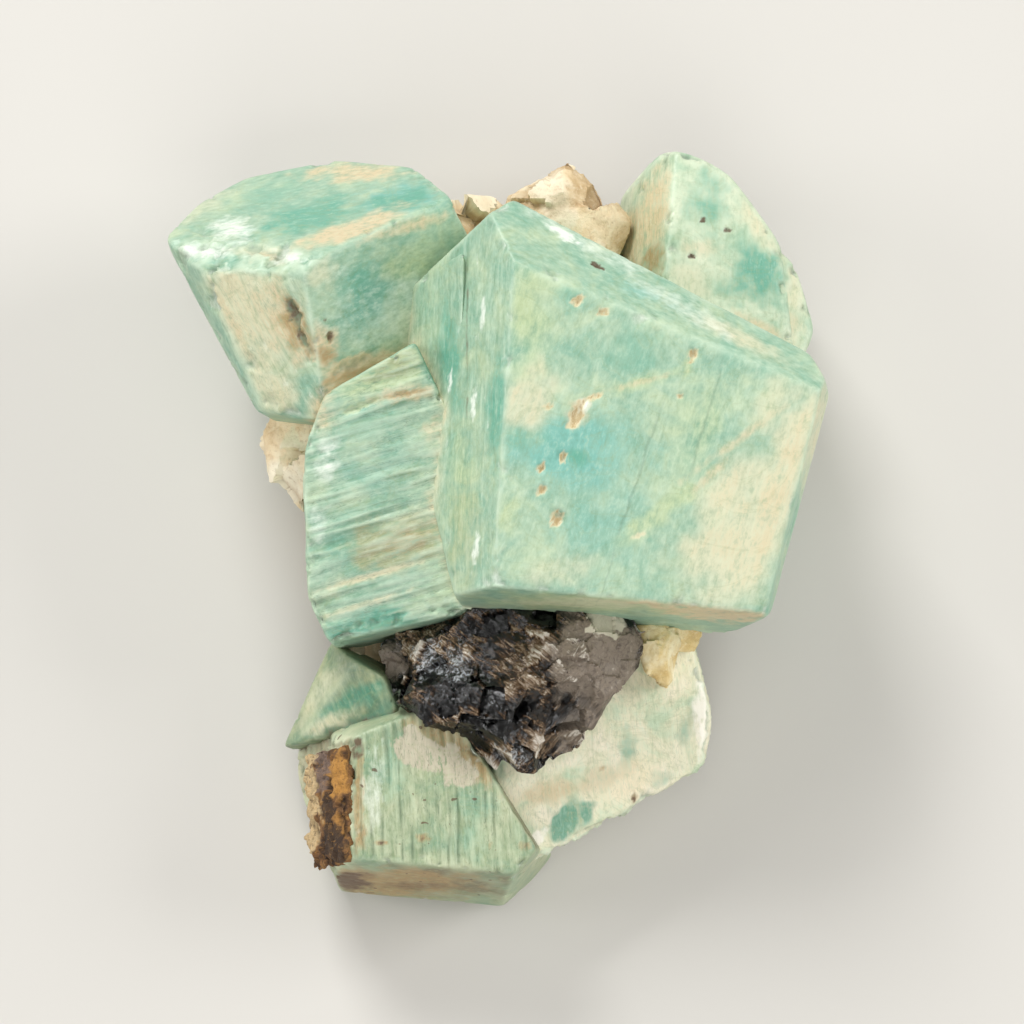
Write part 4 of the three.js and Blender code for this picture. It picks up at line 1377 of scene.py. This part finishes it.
backCrystal = {
    "name": "back_crystal",
    "node": "amazonite_crystals_upper",
    "seed": 71,
    "voxel": 0.42,
    "sharpness": 2.2,
    "inside": (27, 35, -18),
    "faces": {
        "front": ((23, 51, -10), (21.5, 34, -5), (42.5, 25.5, -9)),
        "left": ((23, 51, -10), (21.5, 34, -5), (15, 42.5, -20)),
        "upperLeft": ((14.5, 44, -16), (21, 51, -16), (18, 48.5, -30)),
        "top": ((23, 51.2, -10), (26, 50.7, -10), (24, 51, -24)),
        "topRight": ((26, 50.7, -10), (31, 48, -10), (29, 49, -26)),
        "upperRight": ((31, 48, -10), (38.3, 38, -10), (34, 42, -28)),
        "right": ((38.3, 38, -10), (40, 20, -10), (38, 30, -28)),
        "bottom": ((30, 12, -8), (40, 18, -8), (32, 14, -26)),
        "back": ((20, 40, -28), (34, 40, -27), (30, 20, -26)),
        "backLeft": ((15, 42.5, -20), (16, 30, -18), (20, 38, -28)),
    },
    "streaks": {
        "left": (0.5, -1, 0),
        "rest": (0.1, 1, 0),
    },
    "finish": {
        "front": "satin",
        "left": "ribbed",
        "back": "broken",
        "rest": "satin",
    },
    "chips": (0.9, 2.6),
    "patches": [
        ("teal", "front", (27.9, 44), (4.8, 3.4), 80, 0.7),
        ("teal", "front", (34.7, 34.1), (4.8, 3.7), 70, 1.3),
        ("cream", "front", (35.3, 40.6), (5.1, 2), -55, 0.8),
        ("tan", "front", (26.4, 37.2), (3.7, 1.4), 0, 0.4),
        ("tan", "front", (35.1, 25.6), (4.2, 1.4), -30, 0.6),
        ("cream", "front", (24.9, 32.5), (4.2, 3.4), 0, 0.5),
        ("tan", "left", (19.5, 42), (8.5, 4.2), 60, 0.9),
        ("stain", "left", (19.7, 35.2), (3.1, 2), 60, 0.9),
        ("dirtAndShade", "front", (26.9, 41.1), (0.4, 0.4), 0, 1.0),
        ("dirtAndShade", "front", (30.3, 39.7), (0.4, 0.4), 0, 1.0),
        ("dirtAndShade", "front", (25.3, 35.9), (0.4, 0.4), 0, 1.0),
    ],
    "pits": [
        ("dirtAndShade", "front", (26.9, 41.1), (0.5, 0.4), 0, 0.4),
        ("dirtAndShade", "front", (30.3, 39.7), (0.5, 0.35), 0, 0.4),
        ("dirtAndShade", "front", (25.3, 35.9), (0.5, 0.4), 0, 0.4),
    ],
}

backLedge = {
    "name": "back_ledge",
    "node": "amazonite_crystals_upper",
    "seed": 83,
    "voxel": 0.42,
    "sharpness": 2.2,
    "sink": 0.5,                # mm that its faces lie under their places
    "inside": (37, 27, -16),
    "faces": {
        "front": ((23, 51, -10), (21.5, 34, -5), (42.5, 25.5, -9)),
        "upper": ((38, 37.8, -10), (41, 35.5, -10), (38, 36, -24)),
        "right": ((41, 35.5, -10), (43.5, 25.5, -10.5), (40, 30, -24)),
        "lowerRight": ((43.5, 25.5, -10.5), (41.5, 21, -8), (40, 22, -24)),
        "bottom": ((41, 20, -8), (30, 16, -8), (36, 18, -24)),
        "left": ((30, 30, -10), (30, 20, -10), (30, 25, -24)),
        "back": ((34, 34, -25), (40, 26, -25), (32, 22, -25)),
    },
    "streaks": {
        "rest": (0.1, 1, 0),
    },
    "finish": {
        "rest": "satin",
    },
    "chips": (1.1, 2.4),
    "patches": [
        ("teal", "front", (34.7, 34.1), (4.8, 3.7), 70, 1.3),
        ("cream", "front", (35.3, 40.6), (5.1, 2), -55, 0.8),
        ("cream", "front", (40.7, 32), (5.6, 2.3), 80, 0.7),
        ("tan", "front", (39.1, 27), (2.8, 1.4), -40, 0.4),
    ],
}

lowerLeftCrystal = {
    "name": "lower_left_crystal",
    "node": "amazonite_crystals_lower",
    "seed": 97,
    "voxel": 0.35,
    "sharpness": 3.0,
    "inside": (-23, -27, -6),
    "faces": {
        "front": ((-22.5, -21, 1), (-17, -28, 3), (-29.5, -31, -3)),
        "cleavage": ((-22.5, -21.5, 1), (-29.5, -31, -3), (-27, -21, -5)),
        "outerLeft": ((-26.5, -20.5, -5), (-31.5, -31.5, -6), (-27, -25, -14)),
        "bottom": ((-31.5, -33, -6), (-18.5, -30, 4), (-25, -33, -12)),
        "right": ((-15.5, -28, 3), (-17.5, -23, 3), (-15, -25, -10)),
        "top": ((-25, -18.5, -2), (-19, -22, 3), (-20, -20, -12)),
        "back": ((-20, -20, -12), (-20, -30, -12), (-28, -25, -12)),
    },
    "streaks": {
        "rest": (0.5, -1, 0),
    },
    "finish": {
        "cleavage": "satin",
        "rest": "veined",
    },
    "chips": (0.6, 2.5),
    "patches": [
        ("teal", "front", (-23.3, -26.7), (7.2, 1.5), 28, 1.2),
        ("teal", "front", (-20.8, -29.1), (4.2, 1.2), 25, 0.9),
        ("cream", "front", (-26.5, -29.5), (4.7, 1.1), 20, 0.9),
        ("olive", "front", (-19.4, -21), (2.5, 2.2), 0, 0.9),
        ("stain", "front", (-18.5, -30.9), (3.6, 0.7), 10, 0.8),
        ("frostAndPaintedLight", "cleavage", (-26.8, -24.8), (5.6, 1.1), 50, 0.3),
        ("cream", "cleavage", (-25.3, -24.8), (8.3, 2.8), 50, 0.5),
    ],
}

groovedCrystal = {
    "name": "grooved_crystal",
    "node": "amazonite_crystals_lower",
    "seed": 113,
    "voxel": 0.27,
    "sharpness": 3.6,
    "inside": (-12, -42, -2),
    "faces": {
        "front": ((-22, -32, 7), (-22, -47.5, 9), (0.5, -49.5, 10)),
        "left": ((-22, -32, 7), (-22, -47.5, 9), (-27, -40.5, -4)),
        "farLeft": ((-32, -33, -8), (-24, -53.5, -6), (-29, -42, -14)),
        "underside": ((-22, -47.5, 9), (0.5, -49.5, 10), (-11.5, -53.5, -3)),
        "bottomBack": ((-24, -53.5, -6), (0, -55, -6), (-12, -51, -13)),
        "right": ((3.5, -46, 9.5), (-1.5, -38, 8), (5, -47.5, -10)),
        "lowerRight": ((0.5, -49.5, 10), (3.5, -46, 9.5), (1, -53, -6)),
        "top": ((-22.3, -30.9, 6.9), (-15.4, -28.3, 6.7), (-20, -26, -10)),
        "upperLeft": ((-22.3, -30.9, 6.9), (-32, -33, -8), (-20, -25, -12)),
        "back": ((-20, -40, -12.5), (0, -40, -12.5), (-10, -50, -11.5)),
    },
    "streaks": {
        "underside": (1, 0, 0),
        "rest": (0.06, -1, 0),
    },
    "finish": {
        "front": "grooved",
        "underside": "satin",
        "right": "grooved",
        "left": "broken",
        "rest": "satin",
    },
    "chips": (0.5, 3.0),
    "patches": [
        ("grey", "front", (-10.2, -33.7), (6.6, 2.3), -26, 1.5),
        ("stain", "front", (-6.9, -32.9), (8.8, 3.3), -30, 1.0),
        ("teal", "front", (-16, -35.4), (5.5, 3), 90, 0.35),
        ("teal", "front", (-5.7, -42.8), (5.5, 3.3), 80, 0.35),
        # darker olive over the whole right face: painted shade
        ("olive", "right", (0, -42.6), (7.6, 7.6), 80, 0.9),
        ("dirtAndShade", "front", (-12.2, -44.6), (0.8, 0.3), 80, 0.55),
        ("dirtAndShade", "front", (-17.9, -45.3), (0.7, 0.3), 0, 0.6),
        ("dirtAndShade", "front", (1.9, -45.7), (0.7, 0.3), 80, 0.55),
        ("dirtAndShade", "front", (-5.8, -39.5), (0.4, 0.2), 0, 0.4),
        ("dirtAndShade", "front", (-22.1, -32.4), (1.9, 1.5), 60, 1.3),
        ("dirtAndShade", "front", (-23.2, -31), (3, 0.4), 30, 0.6),
        ("stain", "front", (-21.1, -39.5), (6, 0.8), 88, 1.3),
        ("stain", "front", (-20.8, -44.6), (2.7, 1), 80, 0.8),
        ("frostAndPaintedLight", "front", (-18.9, -38.1), (7.7, 1.6), 88, 0.42),
        ("cream", "front", (-22.2, -43.6), (4.1, 1.4), 85, 0.4),
        # the dark patch at the left end is its own brown-black; the three across the underside darken it
        # as painted shade over some brown staining
        ("dirtAndShade", "underside", (-23.9, -51.2), (4.7, 1.9), 0, 1.0),
        ("olive", "underside", (-11.3, -51.2), (12.4, 2.8), 0, 0.9),
        ("stain", "underside", (-16.9, -51.7), (11.1, 3.1), 0, 1.0),
        ("dirtAndShade", "underside", (-12.8, -51.9), (6.9, 1.1), 0, 0.5),
        ("cream", "left", (-29.2, -37.8), (8.5, 12.7), 0, 1.0),
        ("cream", "farLeft", (-32.3, -42.4), (9.1, 13.7), 0, 1.0),
        ("cream", "upperLeft", (-29.5, -33.1), (8.4, 8.4), 0, 1.0),
        ("stain", "front", (-12.2, -44.6), (0.7, 1.2), 75, 0.8),
        ("stain", "front", (-17.9, -45.3), (1.1, 0.4), 0, 0.9),
        ("stain", "front", (1.9, -45.7), (0.7, 1.1), 80, 0.8),
        ("stain", "front", (-3, -45.6), (0.8, 0.5), 80, 0.6),
    ],
}

paleSlab = {
    "name": "pale_slab",
    "node": "amazonite_crystals_lower",
    "seed": 131,
    "voxel": 0.4,
    "sharpness": 2.6,
    "inside": (14, -34, -5),
    "faces": {
        "front": ((6.5, -40, 3), (25, -19, -2), (26, -34.5, -1)),
        "right": ((25, -17, -2), (28, -28.5, -2), (27, -25, -14)),
        "lowerRight": ((28, -28.5, -2), (26.5, -36, -2), (27.5, -32, -14)),
        "underRight": ((26.5, -36, -2), (18, -40.5, -1), (22, -38, -12)),
        "underLeft": ((18, -40.5, 0), (3, -48, 3), (10, -44, -10)),
        "left": ((-2.5, -30, 0), (-2.5, -45, 0), (-2.5, -40, -10)),
        "top": ((15, -17, -2), (25, -17, -2), (20, -16, -12)),
        "back": ((20, -20, -13), (20, -36, -12), (6, -40, -12)),
    },
    "streaks": {
        "rest": (0.1, -1, 0),
    },
    "finish": {
        "front": "veined",
        "right": "sugary",
        "lowerRight": "sugary",
        "underRight": "broken",
        "underLeft": "broken",
        "rest": "broken",
    },
    "chips": (0.8, 2.4),
    "patches": [
        ("teal", "front", (7.7, -42.6), (3.7, 2.1), 42, 1.6),
        ("tan", "front", (5, -38.7), (4.7, 1.7), 10, 0.8),
        ("teal", "front", (16.1, -33.3), (3.1, 1.2), 85, 0.6),
        ("teal", "front", (20.5, -36.9), (1.9, 1.7), 0, 0.5),
        ("teal", "front", (24.5, -29.5), (3.3, 1.4), 70, 0.45),
        ("dirtAndShade", "front", (16.9, -39.8), (0.4, 0.7), 0, 1.0),
        ("frostAndPaintedLight", "front", (3.3, -45), (1.9, 1.1), 40, 1.0),
        ("cream", "front", (16.6, -37.4), (4.7, 2.5), 25, 0.7),
        ("frostAndPaintedLight", "front", (27, -24.8), (9.2, 1.5), 84, 1.1),
        ("stain", "front", (16.9, -39.8), (0.7, 1.1), 0, 0.8),
        ("stain", "front", (12.5, -35.5), (0.8, 0.4), 20, 0.7),
        ("tan", "front", (12.2, -37.1), (5.5, 1.9), 25, 0.6),
        ("frostAndPaintedLight", "underRight", (17.4, -41.3), (5.4, 1.1), 25, 0.3),
    ],
}

# what comes out of each crystal, the tone of the stain around it, and its strength
blockCrystal["meets"] = [(prismCrystal, "cream", 0.6), (steppedCrystal, "cream", 0.9)]
sideCrystal["meets"] = [(prismCrystal, "moss", 0.7)]
prismCrystal["meets"] = [(steppedCrystal, "tan", 1.3), (sideCrystal, "cream", 0.6)]
steppedCrystal["meets"] = [(prismCrystal, "tan", 1.4), (blockCrystal, "tan", 0.6)]
backCrystal["meets"] = [(blockCrystal, "tan", 0.8)]
backLedge["meets"] = [(blockCrystal, "tan", 0.8), (backCrystal, "cream", 0.5)]
# between the two lower crystals the dark band is partly painted shade in their crevice
lowerLeftCrystal["meets"] = [(groovedCrystal, "dirtAndShade", 0.6)]
groovedCrystal["meets"] = [(lowerLeftCrystal, "dirtAndShade", 0.5), (paleSlab, "cream", 0.5)]
paleSlab["meets"] = [(groovedCrystal, "cream", 0.4)]


# the broken lumps
# each hull is the skin around its corners, and a piece can have several
# swell: height and size of its waves; flakes: size and tilt; grit: height and size, all in mm
# crisp: degrees between two faces from which their edge stays sharp
# patches: tone, place, half size, its turn in degrees, and strength

quartzMassCorners = [
    (-18.5, -22, 2), (-20, -19, -2), (-14, -17, 4), (-10, -13.5, 4), (-4, -10, 5), (4, -11, 8),
    (13, -11.5, 8), (18.2, -16, 6), (18.6, -19.5, 6), (17, -23.5, 6), (11, -32.4, 6), (7, -34.5, 6),
    (2, -36.3, 8.5), (-2.5, -35, 9.5), (-5, -32.5, 10), (-13, -28.5, 9), (-17.4, -24.8, 5),
    (4, -24, 14), (-6, -19.5, 12), (-1, -31, 13), (11, -19, 12), (12, -26, 11), (-12, -20, -12),
    (12, -20, -12), (8, -32, -11), (-10, -30, -12),
]

albiteBlockCorners = [
    (17, -15.5, 4), (22.6, -15.7, 4.5), (22.9, -19, 2.5), (22.6, -22, 1.5), (21.5, -24.6, 2.5),
    (18.4, -21.5, 5), (21, -19, 6), (17, -16, -8), (22.5, -17, -9), (22.5, -23, -8), (19, -23, -8),
]

albiteCrumbCorners = [
    (22, -15.2, 3.5), (25.6, -15.4, 2.6), (26.4, -17.4, 1.2), (25.2, -19.2, 0.6), (22.2, -19, 2.4),
    (22, -15.5, -4), (26, -16.5, -4), (25, -19.4, -4),
]

rustCrustCorners = [
    (-23.2, -32.5, 7.5), (-23, -47.5, 9.5), (-28.8, -34, -4), (-28.6, -46, -4), (-27.2, -50, 0),
    (-26.4, -40, 4), (-20, -33, 5), (-20, -47, 6), (-24, -35, -4), (-24, -46, -4),
]

backLumpCorners = [
    (-30, 22, -12), (-27, 2, -10), (-20, -14, -8), (22, -12, -8), (33, 4, -14), (33, 24, -18),
    (-28, 20, -22), (30, 18, -24), (-22, -9, -19), (24, -9, -20), (-14, 34, -28), (14, 36, -30),
    (-15, 19, -33), (16, 19, -33.5), (-12, -7, -27), (14, -6, -27), (0, 26, -34.5),
]

shoulderLumpCorners = [
    (-34, 30, -16), (-20, 40, -20), (0, 42, -18), (16, 44, -20), (28, 38, -24), (32, 22, -20),
    (-30, 16, -18), (-16, 36, -29), (12, 38, -31), (24, 28, -29), (-26, 22, -26), (0, 20, -30),
]

lowLumpCorners = [
    (-22, -18, -8), (-24, -28, -9), (-20, -40, -10), (0, -42, -9), (14, -34, -8), (22, -26, -9),
    (22, -16, -8), (0, -12, -6), (-14, -10, -20), (14, -10, -20), (-15, -24, -19), (13, -24, -19),
    (-10, -38, -15), (6, -36, -15.5),
]

pointedLumpCorners = [
    (-1, 44.5, -14), (4, 48, -14), (8, 51, -15), (10.5, 47.5, -14), (14, 45.5, -15), (17, 41, -14),
    (7, 45, -10), (0, 34, -12), (14, 32, -12), (8, 46, -26), (-4, 38, -26), (14, 38, -28),
]

saddleLumpCorners = [
    (-10, 43.5, -8), (-3.5, 43.5, -11), (1, 44, -14), (-8, 34, -6), (0, 34, -10), (-9, 40, -26),
    (2, 40, -28), (-4, 30, -20),
]

creamLumpsCorners = [
    (-33.5, 16, -5), (-35, 11, -6), (-33.5, 5.5, -7), (-30, 0, -6), (-27, 6, -2), (-27, 17, -2),
    (-31, 12, -15), (-28, 2, -15), (-21, 12, -20), (-21, 2, -19),
]


# how the zones of colour on the broken lumps end
zoneMarks = {
    "rim": (1.3, 0.7),        # from the rim to full colour, as shares of the half size
    "jump": 0.1,              # how much the rim differs from hollow to hollow, as such a share
    "milkySmooth": 0.8,       # how far the frosted zone is free of splinters
}

# a lump with no splinters still has a grain, which runs straight to the right
noSplinters = {
    "border": 0, "slant": 0, "leftAngle": 0, "rightAngle": 0, "high": 0, "size": (4.5, 1.1, 2.0),
}


def splinterGrain(points, splinters):
    # places along, across and into the grain, which runs one way left of a slanting border and
    # another way right of it
    right = points[:, 0] > splinters["border"] + splinters["slant"] * points[:, 1]
    turn = np.radians(np.where(right, splinters["rightAngle"], splinters["leftAngle"]))
    along = points[:, 0] * np.cos(turn) + points[:, 1] * np.sin(turn)
    across = points[:, 1] * np.cos(turn) - points[:, 0] * np.sin(turn)
    return np.column_stack((along, across, points[:, 2]))


def buildLump(form, material):
    # a broken lump: the joined hulls, with flakes broken off all over
    mesh = fineMesh(form["name"], form["hulls"], form["voxel"])
    points = meshPoints(mesh)
    outward = meshNormals(mesh)
    seed = form["seed"]
    scoops = scatterScoops(points, outward, form.get("scoops", []), seed + 60)
    points = points + form["swell"][0] * layeredNoise(points / form["swell"][1], seed)[:, None] * outward
    points, owner = carve(points, scoops)
    lift = np.zeros(len(points))
    for step, (size, tilt) in enumerate(form["flakes"]):
        lift += brokenFacets(points, size, tilt, seed + 7 * step)
    high, size = form["grit"]
    lift += high * gradientNoise(points / size, seed + 40)
    keepVectors(mesh, "spot", "POINT", points)
    splinters = form.get("splinters", noSplinters)
    grain = splinterGrain(points, splinters)
    keepVectors(mesh, "grain", "CORNER", grain[cornerPoints(mesh)])

    # zones of colour, a little wider or narrower in each hollow
    jump = zoneMarks["jump"] * (evenRandom(owner + 1, seed + 51) - 0.5)
    tones = {}
    for number, (tone, place, size, angle, strength) in enumerate(form["patches"]):
        reach = blotReach(points, place, size, angle, seed + number) + jump
        zone = strength * smoothStep(*zoneMarks["rim"], reach)
        tones[tone] = np.maximum(tones.get(tone, 0), zone)
    for tone, values in tones.items():
        keepNumbers(mesh, tone, values)
    splinter = splinters["high"] * layeredNoise(grain / splinters["size"], seed + 45)
    lift += splinter * (1 - zoneMarks["milkySmooth"] * tones.get("milky", 0))
    points = points + lift[:, None] * outward
    keepNumbers(mesh, "relief", lift)
    finishPiece(form["name"], mesh, points, material, form["node"], form["crisp"])


quartzPiece = {
    "name": "quartz_lump", "node": "smoky_quartz", "seed": 211, "voxel": 0.26,
    "hulls": [quartzMassCorners],
    "swell": (0.3, 5.0),
    # how many shell shaped hollows, half width in mm, depth for each mm of that, how freely they lean
    "scoops": [(24, (3.2, 7.0), (0.15, 0.28), 0.35), (18, (1.4, 2.8), (0.18, 0.30), 0.45)],
    "flakes": [(3.4, 0.15), (1.2, 0.05)],
    "grit": (0.02, 0.6),
    "crisp": 28,
    # where the two grains meet and how that border slants, their angles in degrees, and how high
    # and large the splinters are
    "splinters": {
        "border": 16.0, "slant": 0.4, "leftAngle": -35, "rightAngle": 52, "high": 0.22,
        "size": (4.5, 1.1, 2.0),
    },
    "patches": [
        ("milky", (12.0, -19.6), (7.4, 6.2), 20, 1.0),
        ("milky", (-17.0, -21.0), (2.8, 3.0), 0, 0.8),
        ("milky", (11.0, -28.0), (7.5, 3.0), 45, 0.7),
        ("chip", (13.1, -15.1), (2.5, 2.1), 0, 1.0),
        # the silver zones, with grey sheets of cracks and painted glints
        ("silver", (-9.5, -20.4), (5.0, 3.4), 0, 1.0),
        ("silver", (-0.6, -33.4), (4.0, 2.6), 0, 1.0),
        ("silver", (4.0, -21.0), (6.0, 4.0), 0, 0.8),
        ("veil", (5.0, -22.0), (10.0, 8.0), 0, 1.0),
        ("veil", (8.0, -30.0), (9.0, 6.0), 45, 1.0),
        ("veil", (-9.0, -17.0), (8.0, 3.5), 20, 0.9),
    ],
}

albitePiece = {
    "name": "albite_block", "node": "cream_albite", "seed": 223, "voxel": 0.3,
    "hulls": [albiteBlockCorners, albiteCrumbCorners],
    "swell": (0.2, 4.0),
    "flakes": [(3.5, 0.12)],
    "grit": (0.04, 0.7),
    "crisp": 35,
    "patches": [],
}

rustPiece = {
    "name": "rust_crust", "node": "iron_oxide_crust", "seed": 227, "voxel": 0.35,
    "hulls": [rustCrustCorners],
    "swell": (0.4, 3.0),
    "flakes": [(1.6, 0.22)],
    "grit": (0.35, 0.9),
    "crisp": None,
    "patches": [
        ("ochre", (-23.8, -36.4), (1.4, 3.2), 0, 1.1),
        ("ochre", (-23.4, -43.0), (1.2, 2.0), 20, 0.7),
        ("black", (-24.5, -45.8), (1.8, 3.0), 0, 0.9),
        ("black", (-25.2, -41.0), (1.0, 2.4), 0, 0.8),
        ("purple", (-26.3, -35.5), (1.2, 4.0), 0, 0.95),
        ("tan", (-28.6, -39.5), (1.7, 7.5), 5, 1.2),
    ],
}

matrixPiece = {
    "name": "broken_feldspar", "node": "feldspar_matrix", "seed": 229, "voxel": 0.55,
    "hulls": [
        backLumpCorners, shoulderLumpCorners, lowLumpCorners, pointedLumpCorners,
        saddleLumpCorners, creamLumpsCorners,
    ],
    "swell": (0.3, 6.0),
    "flakes": [(6.2, 0.16), (2.2, 0.05)],
    "grit": (0.07, 1.0),
    "crisp": 38,
    "patches": [
        ("green", (-30.5, 9.0), (2.0, 2.6), 0, 0.6),
        # the cream lumps' own cream colour, made near white as painted light against the shade that the
        # crystals above and right of them cast
        ("cream", (-31.0, 3.0), (4.0, 5.0), 0, 0.7),
        ("cream", (6.0, 44.0), (3.0, 6.0), 20, 0.5),
    ],
}


# the pieces

clearGreen = grownAmazonite("amazonite_natural_faces", {
    "clefts": [
        ((29.0, 21.6), (23.8, 4.0), 0.30, 0.45),
        ((20.6, 16.0), (13.6, -5.5), 0.28, 0.5),
        ((14.2, -4.0), (11.3, -12.9), 0.22, 0.4),
    ],
})
paleGreen = grownAmazonite("amazonite_pale_natural_faces", {
    "tones": {"base": "bdcdb0", "deep": "9dbc9f", "light": "d8dfc4", "frostAndPaintedLight": "f0eadb"},
})
creamGreen = grownAmazonite("amazonite_cream_natural_faces", {
    "tones": {
        "base": "e2dfc0", "deep": "c3d4b4", "light": "f0e8cf", "frostAndPaintedLight": "f8f3e6", "cream": "f0e2c0",
        "teal": "5f9a81", "grey": "b5aa90",
    },
})
# its olive tone is a dark one, for the painted shade on the right face and the underside, and its darker
# base is partly painted shade of the lower end
oliveGreen = grownAmazonite("amazonite_olive_natural_faces", {
    "patterns": {**amazoniteLook["patterns"], "specks": ("spot", (1.0, 1.0, 1.0), 0.0, 0.5, 0.0)},
    "layers": amazoniteLook["layers"] + [("dirtAndShade", "specks", 0.80, 0.83, 0.8)],
    "tones": {
        "base": "9dab89", "deep": "829f82", "light": "b3b998", "pale": "c6d0af", "crackAndGrooveShade": "46604a",
        "olive": "777052",
    },
})
# a darker copy of the amazonite: partly the crystal's deeper green, partly painted shade, as it lies
# under the stepped crystal
darkShadedGreen = grownAmazonite("amazonite_dark_cleaved_painted_shade", {
    "tones": {
        "base": "7b8f70", "deep": "62836a", "light": "a3a882", "pale": "b4bf9a", "teal": "4f8a70",
        "frostAndPaintedLight": "c9cdb2",
    },
})
quartz = brokenSmokyQuartz("smoky_quartz_broken")
albite = dullMineral("albite_cleaved", albiteLook)
rust = dullMineral("iron_oxide_earthy", rustLook)
feldspar = dullMineral("feldspar_broken", feldsparLook)
print("materials are made")

for form in (blockCrystal, sideCrystal, prismCrystal, steppedCrystal):
    buildCrystal(form, clearGreen)
for form in (backCrystal, backLedge):
    buildCrystal(form, paleGreen)
buildCrystal(paleSlab, creamGreen)
buildCrystal(groovedCrystal, oliveGreen)
buildCrystal(lowerLeftCrystal, darkShadedGreen)
print("crystals are built")
buildLump(quartzPiece, quartz)
buildLump(albitePiece, albite)
buildLump(rustPiece, rust)
buildLump(matrixPiece, feldspar)
print("quartz, albite, crust and feldspar are built")
